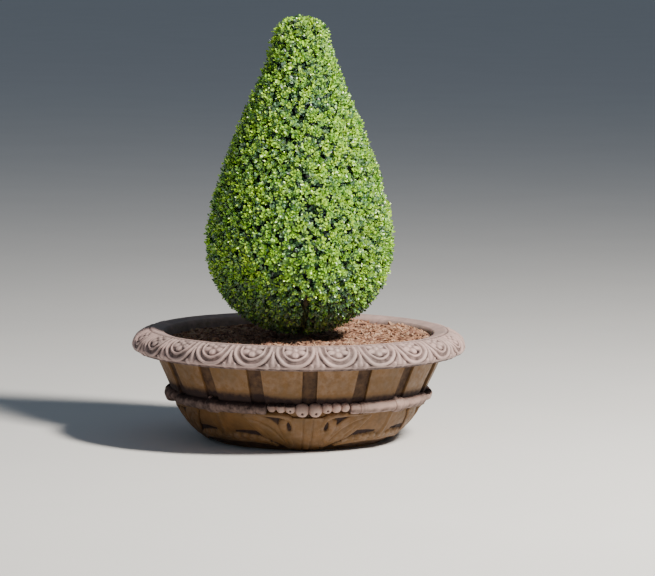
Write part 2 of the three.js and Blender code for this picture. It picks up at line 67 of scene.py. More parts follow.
FOOT = [(150, 0), (266, 0), (271.5, 0.6), (272, 3), (273, 7.4), (277, 8), (283, 8.1)]
BELLY = [(286, 8), (362, 52), (398, 150)]
WALL_FOOT = (403.5, 153)
WALL_TOP = (460, 277)
INSIDE = [(409, 277), (370, 150), (300, 60), (240, 30)]
STRIPS = 16
STRIP_MARGIN = 7
BELLY_ARC = 360  # radius at which arcs round the belly are measured
LOW_LEAF = [(98, 20), (130, 33), (165, 39), (205, 42), (245, 42), (283, 40)]  # (arc, height)
LOW_LEAF_WIDTHS = [4, 9, 13, 14, 14, 13]
LOW_LEAF_RELIEF = 8.5
LOW_LEAF_LOBES = 7
SLOT_DEPTH = 2.5
WALL_SHADE_AND_DIRT = 198  # painted shade over the rail, with some dirt, reaches up the wall to here
STRIP_TONE = 0.74
PANEL_EASE = 0.8  # how far a panel's edge falls off towards the strip
KNOT_RIB = [(283, 122), (283, 90), (283, 52)]
KNOT_RIB_WIDTHS = [6, 5, 11]
KNOT_RIB_RELIEF = 4

# The rim

RIM_TURN = math.radians(1.6)
UNDERSIDE = [(409, 277.4), (504, 277.4)]
ROLL = [(504, 277.4), (519, 281), (529, 288.5), (534, 298), (533.5, 308.5), (525, 328), (498, 346.5)]
CREST = [(473, 353.5), (454, 350.5), (432, 345)]
RIM_ARC = 510  # radius at which arcs round the ornament are measured
RIM_ROW_STEP = 2
MOTIF_COLUMNS = 50
OUTER_RING = (57, 70.5)  # half width and height of each U round a rosette
INNER_RING = (38, 47)
OUTER_RING_HALF = 7.4  # half of how wide the ring itself is
INNER_RING_HALF = 4.8
ORNAMENT_TOP = -20  # this far down the roll from a rosette's middle, so above it
GROOVE_DEPTH = 2.6  # of the groove over the ornament
PETAL_REACH = 25
OFF_THE_ROLL = -1000.0  # marks the rows that aren't on the roll

# Rails, knots and palmettes, and the finish of all the stone

RAIL_RING = 405
RAIL_RADIUS = 19
RAIL_HEIGHT = 146
KNOT_RADIUS = 25
KNOT_HALF_ANGLE = math.radians(3)
KNOT_TURN = math.radians(45)
PALMETTE_HALF_ANGLE = math.radians(18.6)
CLEARANCE = 0.4  # between two castings
JOINT_ANGLE = CLEARANCE / RAIL_RING
KNOT_BUD = (408, 168)  # radius and height of the bud on a knot
KNOT_BUD_TURN = 0.03  # how far round from the knot's middle it sits
KNOT_BUD_HALVES = (8, 8, 7)
DARK_SIDE_TURN = math.radians(-56)  # the pot is darkened round this turn: partly weathering, partly painted shade of the rim's shadow
DARK_SIDE_REACH = math.radians(42)
LOBES = [  # (turn in degrees, half width, middle height, half height)
    (2.9, 22.5, 144, 21.5),
    (8, 18, 150, 16.5),
    (12.2, 16.5, 151, 15.5),
    (16.2, 15, 151.5, 14.5),
]
LOBE_REACH = 430
LOBE_DEPTH = 26
DRILLED_WITHIN = 10  # degrees from the middle in which the lobes have a hole
PAIR_WITHIN = math.radians(5)  # the middle pair of lobes stands within this turn
PALMETTE_REACH = 206  # arc from a palmette's middle to the end of its patch
PALMETTE_EDGE = [(54, 6), (47, 31), (64, 68), (86, 93), (88, 104), (84, 112), (75, 117), (60, 121)]
BLADE = [(58, 18), (88, 48), (116, 74), (143, 95), (168, 109), (192, 119)]
BLADE_WIDTHS = [8, 20, 34, 31, 19, 6]
BLADE_VEIN = [(76, 42), (108, 78), (146, 102), (176, 112)]
BLADE_VEIN_WIDTHS = [5, 7, 7, 5]
BLADE_HOLLOW = [(120, 40), (128, 62), (150, 84)]
BLADE_HOLLOW_WIDTHS = [5, 8, 5]
STRAP = [(43, 60), (44, 92), (49, 111), (64, 124), (92, 131), (140, 133), (200, 132)]
STRAP_WIDTHS = [3, 6, 9, 9.5, 8.5, 7, 5]
STRAP_RISES = [8, 9.5, 11, 15, 19, 20, 15]
TONGUE = [(73, 104), (74, 90), (68, 70), (58, 46), (50, 26)]
TONGUE_WIDTHS = [13, 14, 13, 12, 9]
WEDGE = [(62, 100), (100, 112), (145, 123), (200, 127)]  # dark ground between the blade and the strap
WEDGE_WIDTHS = [24, 20, 13, 5]
SLOT = [(102, 26), (122, 41), (150, 57), (190, 62), (240, 62)]
SLOT_WIDTHS = [3, 8, 10, 9, 4]
FLUTE_GROOVE = 14.5  # arc from a palmette's middle to the groove beside its flute
EYE = (57, 90)
EYE_HALVES = (6.6, 16)
FAN_RISE = 8.2
FLUTE_RISE = 0.9
FLUTE_GROOVE_DEPTH = 3.0
BLADE_RISE = 7.0
BLADE_VEIN_DEPTH = 2.6
BLADE_HOLLOW_DEPTH = 1.4
TONGUE_RISE = 10.4  # at its round end
TONGUE_FALL = 3.0  # from there to its foot
WEDGE_RISE = 0.9
BARE_STONE = (0.62, 0.52, 0.45)  # pale, slightly pink stone that shows where the finish is rubbed off

# Mulch, trunk and boughs

SOIL_LEVEL = 314
SOIL_SEAT = 316
SEAT_RADIUS = 50
LEVEL_FROM = 80
HEAPED_FROM = 110
MULCH_EDGE = 412  # radius at which the height of the mulch's edge is read
MULCH_CLEARANCE = 0.6
MULCH_SIDE = [300, 285, 270]  # heights down the side of the mulch, inside the rim
CHIPS_WITHIN = 418
CHIPS_FROM = 0.055  # share of their outer radius at which the chips begin
MOUNDS = [  # (x, y, height, spread)
    (330, 150, 25, 110),
    (210, 335, 25, 75),
    (395, 20, 14, 80),
    (25, -120, 13, 45),
    (-95, -165, 9, 35),
    (-250, 150, 5, 90),
]
CHIP = np.array([  # stations along a chip: (along, half width, half thickness)
    (-0.50, 0.28, 0.34),
    (0.02, 0.50, 0.50),
    (0.50, 0.22, 0.30),
])
CHIP_TINTS = {  # colour, and share of all chips
    "rust": ((0.375, 0.190, 0.115), 0.40),
    "tan": ((0.480, 0.295, 0.195), 0.36),
    "umber": ((0.190, 0.090, 0.060), 0.24),
}
TRUNK_TAPER = [(36, 0), (29, 0.08), (25, 0.25), (23, 0.5), (19, 1)]
TRUNK_FOOT = 316.4
TRUNK_TOP = 402
TRUNK_LEAN = (7, -4)
FLARES = 5
FLARE_SWELL = 0.16  # share of the radius at the foot
BOUGHS = 5
BOUGH_REACH = 125
BOUGH_HEIGHTS = (352, 386, 462)
BOUGH_STAGGER = 4
BOUGH_RADII = (10.4, 8.2)
CORKY_BARK = (0.22, 0.175, 0.125)

# The crown

OUTLINE = [
    (0, 330), (115, 350), (215, 412), (279, 505), (305, 614), (290, 736), (257, 858),
    (194, 1024), (132, 1172), (110, 1240), (89, 1306), (55, 1342), (0, 1358),
]
STEM_HEIGHTS = (404, 1262)
STEM_RADIUS = 14
BRANCH_DEPTH = 115  # of the ends of the branches under the skin
TWIG_DEPTH = 52
SHOOT_DEPTHS = (4, 18)
INNER_SHARE = 0.24  # share of the shoots that end deeper, behind the others
INNER_DEPTH = 20
SHADE_CORE_DEPTHS = [(0, 40), (0.3, 62), (0.75, 62), (1, 46)]  # (share of the outline, depth)
LIMB_BARK = (0.13, 0.105, 0.065)
SHOOT_BARK = (0.20, 0.24, 0.07)

# The leaves: shade grows with a leaf's age, and deals it into a tint

LEAF = np.array([  # (along, across, up) as shares of the length, of half the width and of the length
    (0.00, 0.00, 0.00),
    (0.34, -0.94, -0.035), (0.74, -0.90, -0.060), (1.00, 0.00, -0.085),
    (0.74, 0.90, -0.060), (0.34, 0.94, -0.035),
    (0.54, 0.00, 0.045),
])
LEAF_FAN = np.array([(6, k, (k + 1) % 6) for k in range(6)])
LEAVES_A_PIECE = 32000
PAIRS_A_SHOOT = 8
LEAFY_LENGTH = 42
SHOOT_SHADES = [0.0, 0.6, 1.2, 1.9]
SHOOT_SHARES = [0.28, 0.34, 0.24, 0.14]
INNER_SHADE = 2.3
TINT_STEPS = (0.55, 1.45, 2.45)  # shades at which one tint gives way to the next
PROUD = (7.5, 2.0)  # how far the youngest and the other leaves may stand out of the outline
LEAF_HEIGHTS = (329, 1357.8)
DARKER_BELOW = (400, 540)  # the tints darken from the second height down to the first: older growth, and painted shade under the crown's overhang
CLEFT_TURN = math.radians(1)  # a narrow dark gap low in the front of the crown
CLEFT_HALF_WIDTH = 10
CLEFT_TOP = 495
CLEFT_DEPTH = 60
SEED = 20260

# The stage

FLOOR_HALF = 70.0  # metres


class TOPIARY_PG_pot(PropertyGroup):
    """Sizes and colours of the pot."""

    strip_width: FloatProperty(
        name="Strip width", description="Width of a sunk strip in the wall",
        default=0.047, min=0.01, max=0.07, unit="LENGTH")
    strip_depth: FloatProperty(
        name="Strip depth", description="How far the strips are sunk",
        default=0.008, min=0.0, max=0.012, unit="LENGTH")
    motifs: IntProperty(
        name="Rosettes", description="Scalloped rosettes round the rim", default=24, min=12, max=36)
    relief: FloatProperty(
        name="Rim relief", description="Depth of the carving on the rim",
        default=0.0065, min=0.0, max=0.012, unit="LENGTH")
    wall_colour: FloatVectorProperty(
        name="Wall", description="Cast stone of the wall and the belly",
        default=(0.134, 0.070, 0.022), size=3, min=0, max=1, subtype="COLOR")
    rim_colour: FloatVectorProperty(
        name="Rim", description="Cast stone of the rim, and most of the rails' and lobes' colour",
        default=(0.395, 0.290, 0.266), size=3, min=0, max=1, subtype="COLOR")
    # the patina colour, also used for the painted shade that pieces put into the tone
    patina_and_shade_colour: FloatVectorProperty(
        name="Patina", description="Dark wash left in the sunk parts",
        default=(0.022, 0.012, 0.011), size=3, min=0, max=1, subtype="COLOR")


class TOPIARY_PG_mulch(PropertyGroup):
    """Size, number and colour of the mulch."""

    chips: IntProperty(
        name="Chips", description="Pieces of shredded bark", default=15000, min=100, max=20000)
    chip_length: FloatProperty(
        name="Chip length", description="Length of a middling chip",
        default=0.0145, min=0.005, max=0.06, unit="LENGTH")
    ground_colour: FloatVectorProperty(
        name="Ground", description="Fine mulch between the chips",
        default=(0.130, 0.070, 0.048), size=3, min=0, max=1, subtype="COLOR")


class TOPIARY_PG_crown(PropertyGroup):
    """Numbers, sizes and tints of the crown."""

    branches: IntProperty(
        name="Branches", description="Branches from the stem", default=90, min=20, max=200)
    twigs: IntProperty(
        name="Twigs", description="Twigs below the skin", default=760, min=100, max=2000)
    shoots: IntProperty(
        name="Shoots", description="Leafy shoots at the skin", default=7200, min=500, max=12000)
    leaf_length: FloatProperty(
        name="Leaf length", description="Length of a full-grown leaf",
        default=0.0158, min=0.01, max=0.04, unit="LENGTH")
    leaf_width: FloatProperty(
        name="Leaf width", description="Width of a full-grown leaf",
        default=0.0098, min=0.005, max=0.03, unit="LENGTH")
    fresh_colour: FloatVectorProperty(
        name="Fresh leaves", description="Yellow-green of the newest shoots",
        default=(0.365, 0.690, 0.036), size=3, min=0, max=1, subtype="COLOR")
    bright_colour: FloatVectorProperty(
        name="Bright leaves", description="Light green of young leaves",
        default=(0.220, 0.480, 0.066), size=3, min=0, max=1, subtype="COLOR")
    green_colour: FloatVectorProperty(
        name="Green leaves", description="Green of full-grown leaves",
        default=(0.100, 0.232, 0.110), size=3, min=0, max=1, subtype="COLOR")
    deep_colour: FloatVectorProperty(
        name="Deep leaves", description="Dark green of old leaves",
        default=(0.036, 0.080, 0.062), size=3, min=0, max=1, subtype="COLOR")


class TOPIARY_PG_stage(PropertyGroup):
    """Camera and floor."""

    distance: FloatProperty(
        name="Camera distance", description="From the stem to the camera, on the level",
        default=12.127, min=3, max=30, unit="LENGTH")
    height: FloatProperty(
        name="Camera height", description="Height of the camera over the floor",
        default=1.771, min=0.1, max=10, unit="LENGTH")
    azimuth: FloatProperty(
        name="Camera azimuth", description="How far the camera stands round from the front",
        default=math.radians(-4.6), subtype="ANGLE", unit="ROTATION")
    lens: FloatProperty(
        name="Lens", description="Focal length in millimetres", default=209.7, min=20, max=400)
    floor_colour: FloatVectorProperty(
        name="Floor", description="Plain pale floor",
        default=(0.78, 0.77, 0.75), size=3, min=0, max=1, subtype="COLOR")


# Surfaces: points with a tone each, four-cornered and three-cornered faces


@dataclass
class Surface:
    """Part of a piece: points (n, 3), quads (q, 4), triangles (t, 3) and one tone for each point."""

    points: np.ndarray
    quads: np.ndarray
    triangles: np.ndarray
    tone: np.ndarray


def mm(points):
    """An array in metres of points that are given in millimetres."""
    return np.asarray(points, dtype=float) * MM


def around(radius, turn, height):
    """Points at a radius and a height, turned from the front towards +X."""
    radius, turn, height = np.broadcast_arrays(radius, turn, height)
    return np.stack([radius * np.sin(turn), -radius * np.cos(turn), height], axis=-1)


def smooth(low, high, values):
    """0 below `low`, 1 above `high` and an even S between them."""
    share = np.clip((values - low) / (high - low), 0, 1)
    return share * share * (3 - 2 * share)


def dome(values):
    """A round hump: the square root of 1 - value squared, and 0 outside -1 to 1."""
    return np.sqrt(np.clip(1 - values * values, 0, 1))


def bell(values, width):
    """A soft hump: e to the power of minus the square of value over width."""
    return np.exp(-((values / width) ** 2))


def spline(points, count):
    """Catmull-Rom curve through the points: each slope is half the step between its neighbours."""
    points = np.asarray(points, dtype=float)
    padded = np.vstack([points[:1], points, points[-1:]])
    along = np.linspace(0, len(points) - 1, count)
    first = np.minimum(along.astype(int), len(points) - 2)
    t = (along - first)[:, None]
    a, b, c, d = (padded[first + k] for k in range(4))
    line = 2 * b + (c - a) * t
    return 0.5 * (line + (2 * a - 5 * b + 4 * c - d) * t**2 + (3 * b - a - 3 * c + d) * t**3)


def bezier(start, pull, end, count):
    """Quadratic curves: (1-t)^2 start + 2t(1-t) pull + t^2 end, along a new axis before the last."""
    start, pull, end = (np.asarray(p, dtype=float)[..., None, :] for p in (start, pull, end))
    t = np.linspace(0, 1, count)[:, None]
    return (1 - t) ** 2 * start + 2 * t * (1 - t) * pull + t**2 * end


def straight(start, end, count):
    """Evenly spaced points from start up to, but without, end."""
    t = np.linspace(0, 1, count, endpoint=False)[:, None]
    return np.asarray(start) * (1 - t) + np.asarray(end) * t


def unit(vectors):
    """The vectors at length 1."""
    return vectors / np.maximum(np.linalg.norm(vectors, axis=-1, keepdims=True), 1e-9)


def outward(section):
    """Normals of a section of (radius, height) rows that runs up its outer side."""
    slope = unit(np.gradient(section, axis=0))
    return np.stack([slope[:, 1], -slope[:, 0]], axis=-1)


def ripples(points, size, seed, waves=10):
    """Soft unevenness, mostly between -1 and 1: sine waves of about one length added together."""
    draw = np.random.default_rng(seed)
    ways = unit(draw.normal(size=(waves, 3))) * draw.uniform(0.7, 1.5, (waves, 1)) * FULL_TURN / size
    return np.sin(points @ ways.T + draw.uniform(0, FULL_TURN, waves)).sum(axis=-1) / math.sqrt(waves)


def stroke(x, z, path, widths, count=48):
    """(depth, share, side) of every place (x, z) in a brush stroke along the curve through `path`.

    Depth is 1 on the curve, 0 where the stroke's half width ends and less beyond, share is how far
    along the curve the nearest point lies, and side is +1 to the left of the curve.
    """
    curve = spline(np.column_stack([mm(path), mm(widths)]), count)
    places = np.stack([x, z], axis=-1)[..., None, :]
    start, step = curve[:-1, :2], np.diff(curve[:, :2], axis=0)
    gap = places - start
    along = np.clip((gap * step).sum(-1) / (step * step).sum(-1), 0, 1)
    miss = np.linalg.norm(gap - along[..., None] * step, axis=-1)
    width = curve[:-1, 2] + along * np.diff(curve[:, 2])
    depth = 1 - miss / np.maximum(width, 1e-5)
    best = depth.argmax(axis=-1)[..., None]
    turned = gap[..., 1] * step[:, 0] - gap[..., 0] * step[:, 1]
    share = (np.arange(count - 1) + along) / (count - 1)
    chosen = [np.take_along_axis(found, best, -1)[..., 0] for found in (depth, share, turned)]
    return chosen[0], chosen[1], np.sign(chosen[2])


def grid_faces(rows, columns, round_rows=False):
    """Quads between the rows and round the columns of a grid that is numbered row by row."""
    row = np.arange(rows if round_rows else rows - 1)[:, None]
    column = np.arange(columns)[None, :]
    above, right = (row + 1) % rows, (column + 1) % columns
    corners = [row * columns + column, row * columns + right]
    corners += [above * columns + right, above * columns + column]
    return np.stack(corners, axis=-1).reshape(-1, 4)


def closed(grid, tone=None, round_rows=False):
    """Closed surface over a grid (rows, columns, xyz) whose columns meet round the back.

    Rows run on into each other where round_rows is true, and otherwise the first and the last row
    are closed by fans round their middles. Seen from outside, the columns go to the right where the
    rows climb.
    """
    rows, columns = grid.shape[:2]
    points = grid.reshape(-1, 3)
    tone = np.zeros(len(points)) if tone is None else tone.reshape(-1)
    quads = grid_faces(rows, columns, round_rows)
    if round_rows:
        return Surface(points, quads, np.zeros((0, 3), int), tone)
    ring = np.arange(columns)
    after = np.roll(ring, -1)
    last, pole = (rows - 1) * columns, len(points)
    fans = [[after, ring, np.full(columns, pole)]]
    fans += [[last + ring, last + after, np.full(columns, pole + 1)]]
    points = np.vstack([points, grid[0].mean(axis=0), grid[-1].mean(axis=0)])
    tone = np.append(tone, [tone[0], tone[-1]])
    return Surface(points, quads, np.hstack(fans).T, tone)


def joined(surfaces):
    """One surface from several, each keeping its own points."""
    firsts = np.cumsum([0] + [len(s.points) for s in surfaces[:-1]])
    return Surface(
        np.vstack([s.points for s in surfaces]),
        np.vstack([s.quads + first for s, first in zip(surfaces, firsts)]),
        np.vstack([s.triangles + first for s, first in zip(surfaces, firsts)]),
        np.concatenate([s.tone for s in surfaces]),
    )


def turned_about(surface, turn):
    """The surface turned about the bowl's axis."""
    c, s = math.cos(turn), math.sin(turn)
    spin = np.array([[c, s, 0], [-s, c, 0], [0, 0, 1]])
    return Surface(surface.points @ spin, surface.quads, surface.triangles, surface.tone)


def tubes(curves, radii, sides):
    """Closed tapering tubes along many curves: curves (n, steps, xyz) and radii (n, steps).

    Each ring lies across its curve, and a fan closes each end.
    """
    count = len(curves)
    way = unit(np.gradient(curves, axis=1))
    aside = unit(np.cross(way, np.array([0.31, 0.17, 0.93])))
    across = np.cross(way, aside)
    turn = np.arange(sides) * FULL_TURN / sides
    spokes = aside[:, :, None] * np.cos(turn)[:, None] + across[:, :, None] * np.sin(turn)[:, None]
    rings = curves[:, :, None] + spokes * radii[:, :, None, None]
    points = np.concatenate([rings.reshape(count, -1, 3), curves[:, :1], curves[:, -1:]], axis=1)
    pattern = closed(rings[0])
    firsts = (np.arange(count) * points.shape[1])[:, None, None]
    quads = (pattern.quads + firsts).reshape(-1, 4)
    triangles = (pattern.triangles + firsts).reshape(-1, 3)
    return Surface(points.reshape(-1, 3), quads, triangles, np.zeros(count * points.shape[1]))


def make_piece(name, surface, finish, nodes, crease=None):
    """A mesh object of the surface that rides on the root body and stands for the named nodes.

    Its faces are shaded smooth, apart from edges that turn by more than `crease` degrees.
    """
    mesh = bpy.data.meshes.new(name)
    corners = np.concatenate([surface.triangles.ravel(), surface.quads.ravel()]).astype(np.int32)
    sizes = np.repeat([3, 4], [len(surface.triangles), len(surface.quads)])
    mesh.vertices.add(len(surface.points))
    mesh.vertices.foreach_set("co", surface.points.astype(np.float32).ravel())
    mesh.loops.add(len(corners))
    mesh.loops.foreach_set("vertex_index", corners)
    mesh.polygons.add(len(sizes))
    mesh.polygons.foreach_set("loop_start", (np.cumsum(sizes) - sizes).astype(np.int32))
    mesh.polygons.foreach_set("use_smooth", np.ones(len(sizes), dtype=bool))
    mesh.update(calc_edges=True)
    if mesh.validate():
        raise RuntimeError(f"{name} has faces that are not sound")
    tone = mesh.attributes.new("tone", "FLOAT", "POINT")
    tone.data.foreach_set("value", surface.tone.astype(np.float32))
    if crease:
        mesh.set_sharp_from_angle(angle=math.radians(crease))
    mesh.materials.append(finish)
    made = bpy.data.objects.new(name, mesh)
    bpy.context.scene.collection.objects.link(made)
    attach(made, "root")
    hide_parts(*nodes)


# Materials: nodes are added one by one, and every pattern reads Object coordinates or the tone


def add(tree, kind, inputs=None, **settings):
    """A new node with its settings, whose inputs take values or other nodes' outputs."""
    made = tree.nodes.new(kind)
    for name, value in settings.items():
        setattr(made, name, value)
    for name, value in (inputs or {}).items():
        if isinstance(value, bpy.types.NodeSocket):
            tree.links.new(value, made.inputs[name])
        else:
            made.inputs[name].default_value = value
    return made


def new_material(name, roughness, **values):
    """(material, tree, shader) with a Principled shader that has these constant values."""
    made = bpy.data.materials.new(name)
    made.use_nodes = True
    shader = made.node_tree.nodes["Principled BSDF"]
    shader.inputs["Roughness"].default_value = roughness
    for socket, value in values.items():
        shader.inputs[socket].default_value = value
    return made, made.node_tree, shader


def place(tree, scale=(1, 1, 1)):
    """Object coordinates, stretched by a Mapping node."""
    where = add(tree, "ShaderNodeTexCoord").outputs["Object"]
    return add(tree, "ShaderNodeMapping", {"Vector": where, "Scale": scale}).outputs[0]


def noise(tree, where, scale, detail=4.0, roughness=0.55):
    """A noise pattern with this many humps to the metre."""
    inputs = {"Vector": where, "Scale": scale, "Detail": detail, "Roughness": roughness}
    return add(tree, "ShaderNodeTexNoise", inputs).outputs["Fac"]


def stepped(tree, value, low, high, bottom=0.0, top=1.0):
    """Maps low..high to bottom..top, held at both ends."""
    inputs = {"Value": value, "From Min": low, "From Max": high, "To Min": bottom, "To Max": top}
    return add(tree, "ShaderNodeMapRange", inputs).outputs[0]


def mixed(tree, share, first, second):
    """Colour between two colours, by a share."""
    made = add(tree, "ShaderNodeMix", data_type="RGBA")
    for number, value in ((0, share), (6, first), (7, second)):
        socket = made.inputs[number]
        if isinstance(value, bpy.types.NodeSocket):
            tree.links.new(value, socket)
        elif isinstance(value, (int, float)):
            socket.default_value = value
        else:
            socket.default_value = (*value, 1.0)
    return made.outputs[2]


def maths(tree, operation, first, second):
    """One operation on two values."""
    return add(tree, "ShaderNodeMath", {0: first, 1: second}, operation=operation).outputs[0]


def bumped(tree, shader, height, distance, strength, below=None):
    """Gives the shader a bump of this distance in metres, on top of another one if there is one."""
    inputs = {"Height": height, "Distance": distance, "Strength": strength}
    if below is not None:
        inputs["Normal"] = below
    normal = add(tree, "ShaderNodeBump", inputs).outputs[0]
    tree.links.new(normal, shader.inputs["Normal"])
    return normal


def scaled(colour, share):
    """The colour made lighter or darker."""
    return tuple(min(1.0, c * share) for c in colour)


def stone_material(name, colour, patina, worn):
    """Cast stone with a rubbed bronze finish.

    Mottles the size of a hand and finer ones vary the colour, and faint runs go down the wall. The
    tone puts the dark, dull patina where the surface is sunk, and the same colour where pieces paint
    shade into it, and worn gives pale rubbed spots on what stands proud.
    """
    made, tree, shader = new_material(name, 0.5, **{"Specular IOR Level": 0.25})
    where = place(tree)
    mottle = stepped(tree, noise(tree, where, 7.0, 5.0, 0.6), 0.36, 0.64)
    fine = stepped(tree, noise(tree, where, 46.0, 5.0, 0.65), 0.35, 0.68)
    runs = stepped(tree, noise(tree, place(tree, (42, 42, 5)), 1.0, 4.0, 0.6), 0.42, 0.72)
    redder = scaled((colour[0] * 1.1, colour[1], colour[2]), 1.12)
    stone = mixed(tree, mottle, scaled(colour, 0.82), redder)
    stone = mixed(tree, maths(tree, "MULTIPLY", fine, 0.45), stone, scaled(colour, 1.3))
    stone = mixed(tree, maths(tree, "MULTIPLY", runs, 0.4), stone, scaled(colour, 0.55))
    tone = add(tree, "ShaderNodeAttribute", attribute_name="tone").outputs["Fac"]
    rough_tone = maths(tree, "ADD", tone, stepped(tree, fine, 0, 1, -0.16, 0.16))
    # sunk carries the patina of the hollows and the painted shade that pieces put into the tone
    sunk = stepped(tree, rough_tone, 0.22, 0.95)
    proud = stepped(tree, rough_tone, 0.10, -0.12)
    rubbed = maths(tree, "MULTIPLY", proud, stepped(tree, mottle, 0.2, 1.0, worn * 0.4, worn))
    bare = tuple(0.55 * c + 0.45 * pale for c, pale in zip(colour, BARE_STONE))
    stone = mixed(tree, rubbed, mixed(tree, sunk, stone, patina), bare)
    tree.links.new(stone, shader.inputs["Base Color"])
    even = stepped(tree, fine, 0, 1, 0.42, 0.62)
    dull = maths(tree, "MAXIMUM", even, stepped(tree, sunk, 0, 1, 0.42, 0.9))
    tree.links.new(dull, shader.inputs["Roughness"])
    coarse = bumped(tree, shader, noise(tree, where, 60.0, 5.0, 0.6), 0.0011, 0.5)
    bumped(tree, shader, noise(tree, where, 330.0, 3.0, 0.7), 0.0004, 0.6, coarse)
    return made


def leaf_material(name, colour, seed):
    """Glossy leaf: its green is uneven from leaf to leaf, with a thin coat that catches the sky."""
    made, tree, shader = new_material(name, 0.36, **{
        "Coat Weight": 0.6, "Coat Roughness": 0.22, "Specular IOR Level": 0.5})
    where = place(tree)
    patch = stepped(tree, noise(tree, where, 75.0 + seed, 2.0), 0.36, 0.64)
    leafy = mixed(tree, patch, scaled(colour, 0.62), scaled(colour, 1.36))
    broad = stepped(tree, noise(tree, where, 9.0 + seed, 2.0), 0.35, 0.65)
    yellow = (min(1, colour[0] * 1.5), colour[1] * 1.05, colour[2])
    tint = mixed(tree, maths(tree, "MULTIPLY", broad, 0.45), leafy, yellow)
    tree.links.new(tint, shader.inputs["Base Color"])
    bumped(tree, shader, noise(tree, where, 420.0, 2.0), 0.0003, 0.5)
    return made


def bark_material(name, colour):
    """Pale corky bark with darker furrows that run along the limb."""
    made, tree, shader = new_material(name, 0.85)
    furrow = stepped(tree, noise(tree, place(tree, (210, 210, 40)), 1.0, 5.0, 0.65), 0.36, 0.6)
    speck = noise(tree, place(tree), 140.0, 4.0)
    base = mixed(tree, furrow, scaled(colour, 0.35), colour)
    base = mixed(tree, maths(tree, "MULTIPLY", speck, 0.5), base, scaled(colour, 1.35))
    tree.links.new(base, shader.inputs["Base Color"])
    bumped(tree, shader, furrow, 0.0012, 0.8)
    return made


def chip_material(name, colour):
    """Shredded bark: fibres along and across, paler and darker bits."""
    made, tree, shader = new_material(name, 0.88)
    where = place(tree)
    bits = stepped(tree, noise(tree, where, 95.0, 4.0, 0.7), 0.32, 0.68)
    broad = stepped(tree, noise(tree, where, 16.0, 3.0), 0.35, 0.65)
    base = mixed(tree, bits, scaled(colour, 0.55), scaled(colour, 1.35))
    base = mixed(tree, maths(tree, "MULTIPLY", broad, 0.35), base, scaled(colour, 0.6))
    tree.links.new(base, shader.inputs["Base Color"])
    bumped(tree, shader, noise(tree, place(tree, (260, 900, 500)), 1.0, 3.0), 0.0007, 0.7)
    return made


def floor_material(colour):
    """Plain pale floor with a soft, faint grain."""
    made, tree, shader = new_material("pale_floor", 0.75)
    soft = stepped(tree, noise(tree, place(tree), 1.4, 3.0), 0.3, 0.7)
    tree.links.new(mixed(tree, soft, scaled(colour, 0.97), colour), shader.inputs["Base Color"])
    return made


# The bowl


def bowl_turns(section, strip_width):
    """Turn of each column at each row's radius, with 46 columns to a strip and its panel.

    A strip's edges stay as far apart in metres at every height, and the panel's columns share the
    rest evenly. Also returns how far each column lies in a strip and how near to a panel's edge.
    """
    lip = np.array([0, 0.03, 0.06])
    strip_places = np.concatenate([lip - 1, np.linspace(-0.86, 0.86, 8), 1 - lip[::-1]])
    panel_places = np.concatenate([[0.012, 0.03], np.linspace(0.06, 0.94, 28), [0.97, 0.988]])
    half = np.arcsin(strip_width / 2 / np.maximum(section[:, 0], 0.2))[:, None]
    span = FULL_TURN / STRIPS
    local = np.hstack([half * strip_places, half + (span - 2 * half) * panel_places])
    turns = local[:, None, :] + (np.arange(STRIPS) * span)[None, :, None]
    in_panel = np.minimum(panel_places, 1 - panel_places)
    sunk = np.concatenate([smooth(1.0, 0.94, np.abs(strip_places)), np.zeros(len(panel_places))])
    edge = np.concatenate([np.zeros(len(strip_places)), 1 - smooth(0, 0.03, in_panel)])
    return turns.reshape(len(section), -1), np.tile(sunk, STRIPS), np.tile(edge, STRIPS)


def belly_relief(turns, heights):
    """(relief, share of dark slot) of the belly: long lobed leaves, a rib under each knot, slots.

    Turns are folded into one eighth of the round, as all eight leaves are alike or mirrored. The
    leaf is a stroke that rises from its edge to a round back with a sunk vein, and its width swells
    and narrows in lobes along the upper side. The rib is a dome across its stroke, and the slot is
    a shallow trough along its own.
    """
    arc = np.abs((turns + KNOT_TURN) % QUARTER - KNOT_TURN) * BELLY_ARC * MM
    depth, share, side = stroke(arc, heights, LOW_LEAF, LOW_LEAF_WIDTHS)
    lobe = np.where(side > 0, np.abs(np.sin(share * math.pi * LOW_LEAF_LOBES)), 0.75)
    across = (1 - depth) / (0.66 + 0.46 * lobe)
    rise = dome(across) ** 0.7 * (0.66 + 0.34 * lobe)
    vein = 0.35 * bell(1 - depth, 0.13)
    leaf = LOW_LEAF_RELIEF * np.clip(rise - vein, 0, 1) * smooth(0.0, 0.06, share)
    rib = KNOT_RIB_RELIEF * dome(1 - np.clip(stroke(arc, heights, KNOT_RIB, KNOT_RIB_WIDTHS)[0], 0, 1))
    slot = smooth(0, 0.7, stroke(arc, heights, SLOT, SLOT_WIDTHS)[0]) * (leaf < 2)
    return (np.maximum(leaf, rib) - SLOT_DEPTH * slot) * MM, slot


